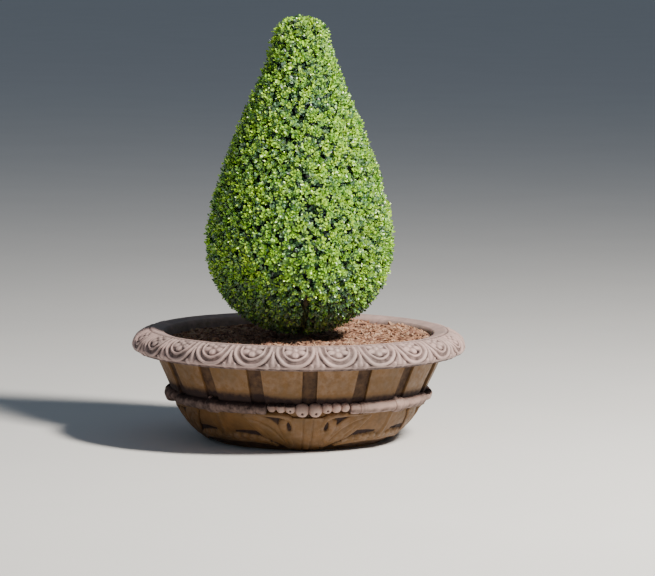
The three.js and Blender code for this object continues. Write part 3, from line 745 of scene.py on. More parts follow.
def bowl_surface(settings):
    """The bowl as one closed turned surface: underside, foot, belly, wall with strips, inside.

    Every row has a radius and a height from the section, and rows lie closer at both ends of the
    wall. The strips are sunk along the wall's normal, and the low leaves stand proud of the belly
    along its normal. The tone is dark in the strips and slots and near the foot, and just over the
    rail it is painted shade with some dirt.
    """
    foot = mm(FOOT)
    belly = bezier(*mm(BELLY), 46)
    ledge = straight(belly[-1], mm(WALL_FOOT), 3)[1:]
    margin = (mm(WALL_TOP) - mm(WALL_FOOT)) / 28
    wall = np.vstack([
        straight(mm(WALL_FOOT), mm(WALL_FOOT) + margin, 3),
        straight(mm(WALL_FOOT) + margin, mm(WALL_TOP) - margin, 20),
        straight(mm(WALL_TOP) - margin, mm(WALL_TOP), 3),
    ])
    top = straight(mm(WALL_TOP), mm(INSIDE[0]), 4)
    inside = spline(mm(INSIDE), 10)
    parts = (foot, belly, ledge, wall, top, inside)
    section = np.vstack(parts)
    normal = outward(section)
    turns, sunk, edge = bowl_turns(section, settings.strip_width)
    radius, height = section[:, :1], section[:, 1:]
    on_belly, on_wall = (
        np.concatenate([np.full(len(part), float(part is chosen)) for part in parts])[:, None]
        for chosen in (belly, wall)
    )
    rows_deep = on_wall * smooth(WALL_FOOT[1] * MM, (WALL_FOOT[1] + STRIP_MARGIN) * MM, height)
    rows_deep *= smooth(WALL_TOP[1] * MM, (WALL_TOP[1] - STRIP_MARGIN) * MM, height)
    leaf, slot = belly_relief(turns, np.broadcast_to(height, turns.shape))
    leaf = leaf * on_belly
    spot = around(radius, turns, height)
    uneven = (0.5 * ripples(spot, 0.09, 11) + 0.3 * ripples(spot, 0.03, 12)) * MM
    strip = rows_deep * sunk
    lift = leaf - settings.strip_depth * strip - PANEL_EASE * MM * rows_deep * edge
    lift = lift + uneven * (on_belly + on_wall)
    grid = around(radius + lift * normal[:, :1], turns, height + lift * normal[:, 1:])
    # painted shade over the rail, with some dirt, climbs the wall to this height, higher on the dark side
    shade_and_dirt_top = WALL_SHADE_AND_DIRT * MM + 0.010 * weathering_and_painted_shade(turns)
    wall_tone = np.maximum(STRIP_TONE * strip, smooth(0, 1, (shade_and_dirt_top - height) / 0.028) * on_wall)
    belly_tone = 0.30 * (1 - smooth(0, 5 * MM, leaf)) + 0.45 * smooth(0.045, 0.012, height) + slot
    tone = np.where(on_belly > 0, belly_tone, wall_tone)
    return closed(grid, tone)


# The rim


def rosette(a, t):
    """Height, 0 to 1, of a daisy of six petals round a bead, at arcs a across and t below its middle.

    A petal is a hump in the distance from a point PETAL_REACH out along it, with a fine groove down
    it. The petals stand on a low cushion.
    """
    turn = np.arctan2(a, t)
    petal = (turn + FULL_TURN / 12) % (FULL_TURN / 6) - FULL_TURN / 12
    reach = np.hypot(a, t)
    across = reach * np.sin(petal)
    along = reach * np.cos(petal) - PETAL_REACH
    hump = np.maximum(dome(np.hypot(across / 11.5, along / 14)), 0.42 * dome(reach / 31))
    furrow = 0.2 * bell(across, 1.8) * smooth(12, 22, reach)
    bead = 1.05 * dome(reach / 9)
    return np.maximum(np.clip(0.95 * hump - furrow, 0, 1), bead)


def rim_relief(a, t, half_pitch):
    """Height, 0 to 1, of the rim's ornament at arcs a from a motif's middle and t down from its bead.

    All three are in millimetres, and half_pitch is the arc to the place halfway to the next motif.
    Two elliptical rings hold the rosette. A ring is a hump in how far outside its ellipse a place
    lies, and over the bead its arms run on almost straight. A dart hangs between two motifs, with a
    small lobe on either side of its foot, and a fillet runs along the bottom.
    """
    a, t = np.broadcast_arrays(a, t)
    low = np.where(t > 0, t, 0.35 * t)
    off_outer, off_inner = (
        (np.hypot(a / wide, low / tall) - 1) * (wide + tall) / 2
        for wide, tall in (OUTER_RING, INNER_RING)
    )
    outer = dome(off_outer / OUTER_RING_HALF) ** 1.5 - 0.16 * bell(off_outer + 2.5, 1.1)
    inner = 0.88 * dome(off_inner / INNER_RING_HALF) ** 1.5
    between = 0.18 * smooth(6, -2, off_outer) * smooth(-4, 0, off_inner)
    flower = rosette(a, t) * (off_inner < -4)
    off = np.abs(np.abs(a) - half_pitch)
    dart_width = np.interp(t, [8, 70], [3, 10])
    dart = 0.85 * dome(off / dart_width) ** 1.5 * smooth(4, 12, t) * smooth(77, 71, t)
    crotch = 0.5 * smooth(26, 8, t) * (off_outer > 0)
    lobe_width = np.interp(t, [57, 72], [2, 9.5])
    lobe = 0.95 * dome((off - 17) / lobe_width) ** 1.4 * smooth(57, 63, t)
    fillet = 0.6 * smooth(72, 76, t)
    ground = 0.42 * smooth(10, 15, off_outer)
    return np.maximum.reduce([outer, inner, between, flower, dart, crotch, lobe, fillet, ground])


def rim_surface(settings):
    """The rim as one turned surface that closes on itself: underside, roll, crest and inner lip.

    Rows on the roll are spaced evenly along its curve. The carving lies between the section's own
    line, where the ornament is highest, and the relief's depth below it. The whole roll then lies
    half a millimetre further in, and more where it is uneven. The tone is dark where the carving is
    deep and in the groove over it, faintly darker over the ornament, and painted shade darkens the
    band under its foot, the underside and the inner face.
    """
    curve = spline(mm([*ROLL, *CREST]), 900)
    lengths = np.concatenate([[0], np.cumsum(np.linalg.norm(np.diff(curve, axis=0), axis=1))])
    bead = lengths[np.abs(curve - mm(ROLL[-1])).sum(axis=1).argmin()]
    carved_end = bead - (ORNAMENT_TOP - 4) * MM
    evenly = np.append(np.arange(0, carved_end, RIM_ROW_STEP * MM), lengths[-1])
    evenly = np.insert(evenly, -1, np.linspace(evenly[-2], evenly[-1], 10)[1:-1])
    outer = np.column_stack([np.interp(evenly, lengths, curve[:, k]) for k in range(2)])
    lip = straight(outer[-1], mm(UNDERSIDE[0]), 5)[1:]
    underside = straight(mm(UNDERSIDE[0]), mm(UNDERSIDE[1]), 5)
    section = np.vstack([underside, outer, lip])
    normal = outward(section)
    down = np.full((len(section), 1), OFF_THE_ROLL)
    down[len(underside):len(underside) + len(outer), 0] = (bead - evenly) / MM
    on_roll = down > OFF_THE_ROLL
    columns = settings.motifs * MOTIF_COLUMNS
    turns = np.arange(columns)[None, :] * FULL_TURN / columns
    pitch = FULL_TURN / settings.motifs
    arcs = ((turns - RIM_TURN) % pitch - pitch / 2) * RIM_ARC
    carved = rim_relief(arcs, down, pitch / 2 * RIM_ARC)
    band = smooth(ORNAMENT_TOP, ORNAMENT_TOP + 3, down) * smooth(100, 88, down)
    depth = band * (1 - carved)
    groove = bell(down - ORNAMENT_TOP + 1.5, 2.4) * on_roll
    spot = around(section[:, :1], turns, section[:, 1:])
    uneven = 0.3 * (ripples(spot, 0.05, 21) + 0.6 * ripples(spot, 0.02, 22)) - 0.5
    sink = np.maximum(settings.relief * depth, GROOVE_DEPTH * MM * groove)
    sink = sink - np.minimum(uneven, -0.5) * MM * on_roll
    grid = around(section[:, :1] - sink * normal[:, :1], turns, section[:, 1:] - sink * normal[:, 1:])
    # faint dirt over the ornament; painted shade on the underside and the inner face, strong on the band
    # under the roll
    dirt_and_shade = np.where(on_roll, 0.2 * smooth(ORNAMENT_TOP, ORNAMENT_TOP - 6, down), 0.4)
    dirt_and_shade = np.maximum(dirt_and_shade, 0.8 * smooth(77, 86, down))
    tone = np.maximum(0.88 * depth + 0.8 * groove, dirt_and_shade)
    return closed(grid, np.clip(tone, 0, 1) * np.ones_like(turns), round_rows=True)


# Rails, knots and palmettes


def weathering_and_painted_shade(turns):
    """Share of weathering and painted shade, 0 to 1: full left of the front palmette, and none opposite.
    """
    off = np.abs((turns - DARK_SIDE_TURN + math.pi) % FULL_TURN - math.pi)
    return smooth(DARK_SIDE_REACH + math.radians(8), DARK_SIDE_REACH - math.radians(8), off)


def ring_tube(turns, radii, steps_round, seed):
    """A closed tube along the rail's ring: one section for each turn, with its own radius.

    A place lies its section's radius and a soft ripple away from the ring. The tone is painted shade
    on the underside and towards the wall, and on the dark side it is partly weathering and partly
    painted shade, most of all on top.
    """
    angles = -np.arange(steps_round) * FULL_TURN / steps_round
    outwards, upwards = np.cos(angles), np.sin(angles)
    out = RAIL_RING * MM + radii[:, None] * outwards
    up = RAIL_HEIGHT * MM + radii[:, None] * upwards
    spot = around(out, turns[:, None], up)
    centre = around(RAIL_RING * MM, turns[:, None], RAIL_HEIGHT * MM)
    swell = 0.5 * MM * ripples(spot, 0.04, seed)
    grid = spot + unit(spot - centre) * swell[..., None]
    # painted shade on the rail's underside and on its side towards the wall
    under = 0.55 * smooth(0.45, -0.5, upwards) + 0.4 * smooth(0.3, -0.5, outwards)
    mottle = 0.16 * smooth(-0.6, 1.2, ripples(spot, 0.03, seed + 2))
    weathering_and_shade = weathering_and_painted_shade(turns)[:, None]
    # on the dark side the rail's top is darkened: partly weathering, partly painted shade of the rim's
    # shadow
    over = (0.78 + 0.22 * smooth(0.1, 0.7, upwards)) * weathering_and_shade
    return closed(grid, np.maximum(under, over) + mottle * (1 - 0.8 * weathering_and_shade))


def rail_surface(start, end, near_palmette):
    """A rail between two turns: a plain roll, with a reel and two beads where it meets a palmette.

    The radius is the roll's, less soft grooves 31, 41 and 52 mm from the palmette, which leave the
    reel before them and the beads between them.
    """
    turns = np.linspace(start, end, 90)
    arc = np.abs(turns - near_palmette) * RAIL_RING
    grooves = 0.16 * bell(arc - 31, 2.2) + 0.10 * bell(arc - 41, 2.2) + 0.08 * bell(arc - 52, 3)
    shape = 0.90 + 0.10 * smooth(2, 5, arc) - 0.05 * smooth(50, 36, arc) - grooves
    return ring_tube(turns, (RAIL_RADIUS * shape - CLEARANCE) * MM, 28, 31)


def knot_surface(middle):
    """A collar with rounded shoulders, and a small bud on top of it.

    The collar's radius is a dome along it, less a fine groove round its middle.
    """
    share = np.linspace(-1, 1, 26)
    turns = middle + share * (KNOT_HALF_ANGLE - JOINT_ANGLE)
    shape = 0.78 + 0.20 * dome(share * 0.98) - 0.07 * bell(share, 0.12)
    collar = ring_tube(turns, KNOT_RADIUS * MM * shape, 32, 32)
    bud_radius, bud_height = mm(KNOT_BUD)
    bud = lump(around(bud_radius, middle - KNOT_BUD_TURN, bud_height), KNOT_BUD_HALVES, 14, 10)
    # the bud takes a darker tone, more on the side darkened by weathering and painted shade
    bud.tone = bud.tone + 0.45 + 0.3 * weathering_and_painted_shade(middle)
    return joined([collar, bud])


def lump(centre, sizes, around_steps, up_steps):
    """A closed round lump: a ball's cos and sin of tilt and turn, times half sizes in millimetres."""
    tilt = np.linspace(-QUARTER, QUARTER, up_steps + 2)[1:-1, None]
    turn = np.arange(around_steps)[None, :] * FULL_TURN / around_steps
    ball = around(np.cos(tilt), turn, np.sin(tilt) * np.ones_like(turn))
    return closed(centre + ball * mm(sizes))


def lobe_surface(turn, half_width, middle, half_height, drilled):
    """One rounded lobe of a palmette: an egg whose lower end is narrower, with a drilled hole.

    Across and out are the cos of the tilt times the sin and cos of the spin, and up is the sin of
    the tilt, with the ends squared off a little. The hole is a bell-shaped pit in the outer face near
    the foot, with a fine furrow down through it. Lobes to the left of the middle pair are darkened on
    top by painted shade.
    """
    tilt = np.linspace(-QUARTER, QUARTER, 34)[1:-1, None]
    spin = np.arange(40)[None, :] * FULL_TURN / 40
    ring, rise = np.cos(tilt) ** 0.72, np.sin(tilt)
    width = half_width * MM * (1 - 0.16 * smooth(0.1, -0.9, rise))
    x = ring * np.sin(spin) * width
    out = ring * np.cos(spin) * LOBE_DEPTH * MM
    up = np.sign(rise) * np.abs(rise) ** 0.9 * half_height * MM * np.ones_like(spin)
    pit = bell(np.hypot(x, up + 0.42 * half_height * MM), 3.8 * MM) * (out > 0) * drilled
    furrow = bell(x, 2.5 * MM) * (out > 0) * smooth(0, 12 * MM, -up)
    out = out - (9 * pit + 1.2 * furrow) * MM
    radius = (LOBE_REACH - LOBE_DEPTH - 0.5) * MM + out
    local = np.arctan2(x, radius)
    grid = around(np.hypot(x, radius), local + turn, middle * MM + up)
    side = smooth(0.7, 1.05, np.abs(x) / width)
    # painted shade of the rim's shadow on the tops of the lobes left of the middle pair
    painted_shade_top = smooth(0.05, 0.45, rise) * (turn < -PAIR_WITHIN)
    return closed(grid, np.maximum.reduce([pit, 0.6 * side, painted_shade_top * np.ones_like(x)]))


def palmette_relief(x, z):
    """Relief in millimetres over the belly of a palmette's carved leaves, at arcs x and heights z.

    A fan with a fluted stem in its middle opens upwards and ends on each side in a round tongue. A
    strap comes in under the lobes, curls over the tongue and runs down by the stem, round a deep
    eye. Outside the fan a broad blade with a soft vein sweeps out under the strap, over a thin wedge
    of ground. The fan is a dome across its width, and the others are domes of the depth in their own
    strokes. The highest one counts, and the eye is an ellipse cut out.
    """
    side = np.abs(x)
    edge, level = np.array(PALMETTE_EDGE).T * MM
    fan = side / np.interp(z, level, edge, right=1e-3)
    stem = FAN_RISE * dome(fan) ** 0.4 + FLUTE_RISE * dome(side / (FLUTE_GROOVE * MM))
    stem = stem - FLUTE_GROOVE_DEPTH * bell(side - FLUTE_GROOVE * MM, 2.6 * MM) * (fan < 1)
    depth = stroke(side, z, BLADE, BLADE_WIDTHS)[0]
    vein = stroke(side, z, BLADE_VEIN, BLADE_VEIN_WIDTHS)[0]
    hollow = stroke(side, z, BLADE_HOLLOW, BLADE_HOLLOW_WIDTHS)[0]
    blade = BLADE_RISE * dome(np.clip(1 - depth, 0, 1)) ** 0.5 * (depth > 0)
    blade = blade - BLADE_VEIN_DEPTH * smooth(0, 1, vein) - BLADE_HOLLOW_DEPTH * smooth(0, 1, hollow)
    near, share, _ = stroke(side, z, STRAP, STRAP_WIDTHS)
    strap_rise = np.interp(share, np.linspace(0, 1, len(STRAP_RISES)), STRAP_RISES)
    strap = strap_rise * dome(1 - np.clip(near, 0, 1)) ** 0.8
    near, share, _ = stroke(side, z, TONGUE, TONGUE_WIDTHS)
    tongue = (TONGUE_RISE - TONGUE_FALL * share) * dome(1 - np.clip(near, 0, 1)) ** 0.7
    high = np.maximum.reduce([stem, blade, strap, tongue])
    (eye_arc, eye_height), (half_width, half_height) = mm(EYE), mm(EYE_HALVES)
    rise = z - eye_height
    eye = np.hypot((side - eye_arc - 0.1 * rise) / (half_width - 0.14 * rise), rise / half_height)
    ground = WEDGE_RISE * (stroke(side, z, WEDGE, WEDGE_WIDTHS)[0] > 0)
    return np.maximum(high * smooth(0.75, 1.15, eye), ground)


def palmette_surface():
    """The carved patch of a palmette, laid on the front of the belly.

    It is a grid of arcs and heights. Its front is the belly moved out by the relief, or sunk
    just under the belly where nothing is carved, and its back runs inside the bowl's wall.
    """
    section = bezier(*mm(BELLY), 100)[2:]
    normal = outward(section)
    heights = section[:, 1:]
    arcs = np.linspace(-PALMETTE_REACH, PALMETTE_REACH, 241) * MM
    x, z = np.broadcast_arrays(arcs[None, :], heights)
    relief = palmette_relief(x, z) * smooth(148 * MM, 142 * MM, z)
    fade = smooth(0.0, 0.8, relief)
    spot = around(section[:, :1], x / (BELLY_ARC * MM), z)
    lift = (relief + 0.3 * ripples(spot, 0.03, 41) * fade - 1.2 * (1 - fade)) * MM
    back_arcs = arcs[::-8]
    turns = np.concatenate([arcs, back_arcs]) / (BELLY_ARC * MM)
    back = np.full((len(section), len(back_arcs)), -7 * MM)
    lift = np.hstack([lift, back])
    grid = around(section[:, :1] + lift * normal[:, :1], turns[None, :], heights + lift * normal[:, 1:])
    # the carving's low ground is dark: patina, and painted shade for the deep shadow the shallow carving
    # does not cast
    tone = np.hstack([0.95 * (1 - smooth(0.5, 5.5, relief)) + 0.04, np.zeros_like(back)])
    return closed(grid, tone)


# Mulch


def soil_height(x, y):
    """Height of the mulch: a level that eases to a flat seat round the trunk, with mounds on it.

    A mound is a bell of its own height and spread, and all of them fade near the trunk.
    """
    away = np.hypot(x, y)
    off_seat = smooth(SEAT_RADIUS * MM, LEVEL_FROM * MM, away)
    ground = (SOIL_SEAT + (SOIL_LEVEL - SOIL_SEAT) * off_seat) * MM
    heaped = sum(
        high * MM * bell(np.hypot(x - mound_x * MM, y - mound_y * MM), width * MM)
        for mound_x, mound_y, high, width in MOUNDS
    )
    return ground + heaped * smooth(SEAT_RADIUS * MM, HEAPED_FROM * MM, away)


def wall_inside(height):
    """Radius of the rim's straight inner face at a height."""
    (low_radius, low), (high_radius, high) = mm(UNDERSIDE[0]), mm(CREST[-1])
    return low_radius + (high_radius - low_radius) * (height - low) / (high - low)


def soil_surface():
    """The heap of mulch: a lumpy disc of rings, its side down along the rim, and a hidden underside.

    A ring's radius is a share of the radius just inside the rim. Lumps are ripples of two sizes
    that fade towards the edge and over the trunk's seat.
    """
    share = np.linspace(0.015, 1, 84)[:, None]
    turn = np.arange(300)[None, :] * FULL_TURN / 300
    at_rim = around(MULCH_EDGE * MM, turn, 0.0)
    edge_height = soil_height(at_rim[..., 0], at_rim[..., 1])
    edge = wall_inside(edge_height) - MULCH_CLEARANCE * MM
    radius = share * edge
    flat = around(radius, turn, 0.0)
    lumps = 1.6 * ripples(flat, 0.035, 51) + 1.1 * ripples(flat, 0.014, 52) - 1.5
    calm = smooth(0.03, 0.09, radius) * smooth(1.0, 0.97, share)
    height = soil_height(flat[..., 0], flat[..., 1]) + lumps * MM * calm
    top = around(radius, turn, height)[::-1]
    side_height = mm(MULCH_SIDE)[:, None]
    side = around(wall_inside(side_height) - MULCH_CLEARANCE * MM, turn, side_height)
    grid = np.concatenate([side[::-1], top], axis=0)
    return closed(grid)


def chip_surface(centres, lengths, widths, thicknesses, facings, draw):
    """Many bits of bark as bent four-sided slivers, each turned its own way.

    A sliver's corners are its stations' half widths and thicknesses, jittered, and its middle is
    bent up or down by a share of its width.
    """
    count, points_each = len(centres), 4 * len(CHIP)
    corners = np.array([(-1, -1), (1, -1), (1, 1), (-1, 1)])
    along = np.repeat(CHIP[:, 0], 4)
    across = np.repeat(CHIP[:, 1], 4) * np.tile(corners[:, 0], len(CHIP))
    up = np.repeat(CHIP[:, 2], 4) * np.tile(corners[:, 1], len(CHIP))
    jitter = draw.uniform(-0.16, 0.16, (count, points_each, 3))
    bend = draw.uniform(-0.35, 0.35, (count, 1)) * (1 - 4 * along**2)
    local = np.stack([
        (along + jitter[..., 0] * 0.5) * lengths[:, None],
        (across + jitter[..., 1]) * widths[:, None],
        (up + jitter[..., 2]) * thicknesses[:, None] + bend * widths[:, None],
    ], axis=-1)
    points = (centres[:, None] + np.einsum("nij,nkj->nki", facings, local)).reshape(-1, 3)
    first_end, last_end = np.arange(4)[::-1], np.arange(points_each - 4, points_each)
    quads = np.vstack([grid_faces(len(CHIP), 4), first_end, last_end])
    quads = (quads + (np.arange(count) * points_each)[:, None, None]).reshape(-1, 4)
    return Surface(points, quads, np.zeros((0, 3), int), np.zeros(len(points)))


def frames(ways, ups):
    """Turning matrices (n, 3, 3) whose columns are the way, the side and the upward direction."""
    ways = unit(ways)
    sides = unit(np.cross(ups, ways))
    return np.stack([ways, sides, np.cross(ways, sides)], axis=-1)


# Trunk and boughs


def trunk_surface():
    """The trunk: a taper of named radii along its leaning line, swollen into flares at the foot.

    The bark is ridges along the trunk: ripples of the place round it and of a share of its height.
    """
    share = np.linspace(0, 1, 70)[:, None]
    turn = np.arange(84)[None, :] * FULL_TURN / 84
    taper = np.array(TRUNK_TAPER)
    radius = np.interp(share, taper[:, 1], taper[:, 0]) * MM
    flare = 1 + FLARE_SWELL * (1 - share) ** 3 * np.cos(FLARES * turn)
    spots = np.broadcast_arrays(radius * np.cos(turn), radius * np.sin(turn), 0.012 * share)
    grain = np.stack(spots, axis=-1)
    bark = 0.9 * ripples(grain, 0.010, 61) + 0.5 * ripples(grain, 0.005, 62)
    fade = smooth(0, 0.04, share) * smooth(1, 0.97, share)
    full = radius * flare + (bark - 1.0) * MM * fade
    grid = around(full, turn, (TRUNK_FOOT + (TRUNK_TOP - TRUNK_FOOT) * share) * MM)
    grid[..., :2] += mm(TRUNK_LEAN) * share[..., None] ** 2
    return closed(grid)


def bough_surface(index):
    """A bough: a tapering tube on a quadratic curve out of the trunk and up into the crown.

    Ripples drawn out along it move its points away from or towards the curve, as bark.
    """
    turn = index * FULL_TURN / BOUGHS + 0.15 * math.sin(3 * index)
    low, bend, high = (h * MM for h in BOUGH_HEIGHTS)
    start = np.array([0, 0, low + BOUGH_STAGGER * MM * (index % 3)])
    pull = around(BOUGH_REACH * MM / 2, turn, bend)
    end = around(BOUGH_REACH * MM, turn, high)
    curve = bezier(start, pull, end, 34)[5:30]
    tube = tubes(*tapering(curve[None], *BOUGH_RADII), 20)
    bark = ripples(tube.points * np.array([1, 1, 0.35]), 0.009, 63 + index)[:, None]
    middles = curve[nearest(tube.points, curve)]
    tube.points = tube.points + unit(tube.points - middles) * bark * 0.5 * MM
    return tube


# The crown


class Outline:
    """The clipped outline: its curve, and places on it by their share of the area below them."""

    def __init__(self):
        self.curve = spline(mm(OUTLINE), 600)
        steps = np.linalg.norm(np.diff(self.curve, axis=0), axis=1)
        bands = steps * (self.curve[1:, 0] + self.curve[:-1, 0]) / 2
        self.below = np.concatenate([[0], np.cumsum(bands)]) / bands.sum()
        slope = unit(np.gradient(self.curve, axis=0))
        self.normal = np.stack([slope[:, 1], -slope[:, 0]], axis=-1)

    def at(self, shares, turns):
        """Points on the skin and the directions straight out of it."""
        radius, height, out, up = (
            np.interp(shares, self.below, values)
            for values in (*self.curve.T, *self.normal.T)
        )
        return around(radius, turns, height), unit(around(out, turns, up))

    def radius(self, heights):
        """Greatest radius inside the outline at a height, and 0 above and below it."""
        return np.interp(heights, self.curve[:, 1], self.curve[:, 0], left=0, right=0)


def spread(count, draw, scatter):
    """Shares and turns of evenly spread places: equal areas, one golden turn after another."""
    index = np.arange(count)
    shares = (index + 0.6 + scatter * draw.uniform(-1, 1, count)) / (count + 0.4)
    turns = index * GOLDEN_TURN + scatter * draw.uniform(-1, 1, count) * 3 / math.sqrt(count)
    return np.clip(shares, 0.002, 0.9998), turns


def nearest(points, others):
    """Number of the nearest of the others to each point, worked out in slices."""
    found = [
        np.linalg.norm(part[:, None] - others[None], axis=-1).argmin(axis=1)
        for part in np.array_split(points, max(1, len(points) // 400))
    ]
    return np.concatenate(found)


def stem_point(heights):
    """Points on the stem's middle line, which wavers a little over the head of the trunk."""
    waver = 3 * MM * ripples(np.stack([heights * 0, heights * 0, heights], axis=-1), 0.5, 71)
    x, y = mm(TRUNK_LEAN)
    return np.stack([x + waver, y - waver, heights], axis=-1)


def grown(starts, ends, rise, count):
    """Curved limbs from starts to ends, which sag at first by `rise` of their length."""
    reach = np.linalg.norm(ends - starts, axis=-1, keepdims=True)
    pull = starts * 0.45 + ends * 0.55
    pull[:, 2] -= rise * reach[:, 0]
    return bezier(starts, pull, ends, count)


def tapering(curves, first, last):
    """(curves, radii), with radii that run evenly from first to last millimetres on each curve."""
    return curves, np.linspace(first, last, curves.shape[1]) * MM * np.ones((len(curves), 1))


def under_skin(outline, places, depth, share, least):
    """Points this deep under the skin, or by a share of the crown's radius where it is narrow."""
    skin, out = outline.at(*places)
    narrow = share * np.hypot(skin[:, 0], skin[:, 1]) + least
    return skin - out * np.minimum(depth, narrow)[:, None]


def grow_crown(settings, outline, draw):
    """The limbs and leafy shoots by the rule of the solids, carried two orders further.

    Each order of limbs ends on evenly spread places at its own depth under the skin, and each limb
    starts at the nearest end of the order before it. Returns the stem, branches, twigs and shoots
    as (curves, radii), the way out of the skin at each shoot and whether the shoot is an inner one.
    """
    stem = stem_point(np.linspace(*mm(STEM_HEIGHTS), 40))[None]
    ends = under_skin(outline, spread(settings.branches, draw, 0.3), BRANCH_DEPTH * MM, 0.62, 0.02)
    low = np.clip(ends[:, 2] - 0.25 * np.hypot(ends[:, 0], ends[:, 1]) - 0.03, 0.41, 1.25)
    branches = grown(stem_point(low), ends, 0.10, 7)
    twig_ends = under_skin(outline, spread(settings.twigs, draw, 0.5), TWIG_DEPTH * MM, 0.55, 0.012)
    twigs = grown(ends[nearest(twig_ends, ends)], twig_ends, 0.08, 5)
    skin, out = outline.at(*spread(settings.shoots, draw, 0.8))
    depth = draw.uniform(*mm(SHOOT_DEPTHS), settings.shoots) * smooth(1.385, 1.30, skin[:, 2])
    inner = draw.random(settings.shoots) < INNER_SHARE
    depth = depth + INNER_DEPTH * MM * inner
    shoot_ends = skin - out * depth[:, None]
    shoots = grown(twig_ends[nearest(shoot_ends, twig_ends)], shoot_ends, 0.06, 3)
    limbs = [
        tapering(stem, STEM_RADIUS, 4),
        tapering(branches, 5.2, 2.6),
        tapering(twigs, 2.4, 1.3),
        tapering(shoots, 1.2, 0.7),
    ]
    return limbs, out, inner


def leaf_surface(roots, ways, ups, lengths, widths):
    """Many leaves in one surface. Each is an oval of six points round a raised one, in six faces."""
    facing = frames(ways, ups)
    local = LEAF[None] * np.stack([lengths, widths / 2, lengths], axis=-1)[:, None]
    points = (roots[:, None] + np.einsum("nij,nkj->nki", facing, local)).reshape(-1, 3)
    first = (np.arange(len(roots)) * len(LEAF))[:, None, None]
    triangles = (LEAF_FAN + first).reshape(-1, 3)
    return Surface(points, np.zeros((0, 4), int), triangles, np.zeros(len(points)))


def shoot_leaves(shoots, out, inner, draw, settings, outline):
    """Roots, ways, ups, lengths, widths and shade of every leaf on the shoots.

    Pairs of leaves stand across the shoot, each pair a quarter turn round from the last. Towards
    the tip they are smaller, lie closer to the shoot and are younger. Their upper faces look along
    the shoot. The tint darkens with age and inwards, and low down, where it is partly older growth
    and partly painted shade under the crown's overhang. Leaves that reach too far out of the
    outline or into the cleft are left off.
    """
    count, pairs = len(shoots), PAIRS_A_SHOOT
    length = np.linalg.norm(shoots[:, -1] - shoots[:, 0], axis=-1)
    leafy = np.minimum(LEAFY_LENGTH * MM, 0.95 * length)
    age = np.linspace(0, 1, pairs)[None, :]
    back = age ** 0.9 * leafy[:, None]
    share = 1 - back / np.maximum(length, 1e-4)[:, None]
    index = np.clip(share, 0, 1) * (shoots.shape[1] - 1)
    low = np.minimum(index.astype(int), shoots.shape[1] - 2)
    part = (index - low)[..., None]
    rows = np.arange(count)[:, None]
    spot = shoots[rows, low] * (1 - part) + shoots[rows, low + 1] * part
    tip_way = unit(shoots[:, -1] - shoots[:, -2])
    lean = unit(out + np.array([0, 0, 0.35]) + 0.48 * draw.normal(size=(count, 3)))
    way = unit(0.45 * tip_way + 0.85 * lean)[:, None, :] * np.ones((1, pairs, 1))
    side = unit(np.cross(way, draw.normal(size=(count, 1, 3))))
    across = np.cross(way, side)
    turn = np.arange(pairs)[None, :] * QUARTER + draw.normal(0, 0.25, (count, pairs))
    aside = side * np.cos(turn)[..., None] + across * np.sin(turn)[..., None]
    lift = np.radians(np.interp(age, [0, 0.25, 1], [26, 48, 66])) + draw.normal(0, 0.24, (count, pairs))
    size = np.interp(age, [0, 0.3, 1], [0.62, 0.96, 1.04]) * draw.uniform(0.75, 1.18, (count, pairs))
    leaves = []
    for sign in (-1, 1):
        bend = lift + draw.normal(0, 0.1, lift.shape)
        leaf_way = way * np.cos(bend)[..., None] + sign * aside * np.sin(bend)[..., None]
        leaf_up = way * np.sin(bend)[..., None] - sign * aside * np.cos(bend)[..., None]
        leaf_up = unit(leaf_up + 0.38 * draw.normal(size=leaf_up.shape))
        shade = np.where(inner, INNER_SHADE, draw.choice(SHOOT_SHADES, count, p=SHOOT_SHARES))
        shade = shade[:, None] + 1.7 * age ** 1.4 + draw.normal(0, 0.22, (count, pairs))
        # low in the crown the leaves are dealt darker tints: partly older growth, partly painted shade
        # under the overhang
        shade = shade + 0.9 * smooth(DARKER_BELOW[1] * MM, DARKER_BELOW[0] * MM, spot[..., 2])
        root = spot + sign * aside * 1.2 * MM
        leaves.append((root, leaf_way, leaf_up, size * np.ones_like(bend), shade))
    roots, ways, ups, sizes, shades = (np.concatenate(both) for both in zip(*leaves))
    roots, ways, ups = (v.reshape(-1, 3) for v in (roots, ways, ups))
    sizes, shades = sizes.ravel(), shades.ravel()
    lengths = sizes * settings.leaf_length
    tips = roots + ways * lengths[:, None]
    room = outline.radius(tips[:, 2]) - np.hypot(tips[:, 0], tips[:, 1])
    places = np.stack([roots, (roots + tips) / 2, tips])
    off_cleft = np.abs(places[..., 0] + math.tan(CLEFT_TURN) * places[..., 1]).min(axis=0)
    half_gap = CLEFT_HALF_WIDTH * MM * smooth(CLEFT_TOP * MM, (CLEFT_TOP - 40) * MM, tips[:, 2])
    cleft = (off_cleft < half_gap) & (tips[:, 1] < 0) & (room < CLEFT_DEPTH * MM)
    proud = np.where(shades < TINT_STEPS[0], *PROUD) * MM
    lowest, highest = mm(LEAF_HEIGHTS)
    kept = ~cleft & (room > -proud) & (tips[:, 2] < highest) & (tips[:, 2] > lowest)
    widths = sizes * settings.leaf_width * draw.uniform(0.85, 1.1, len(sizes))
    return tuple(v[kept] for v in (roots, ways, ups, lengths, widths, shades))


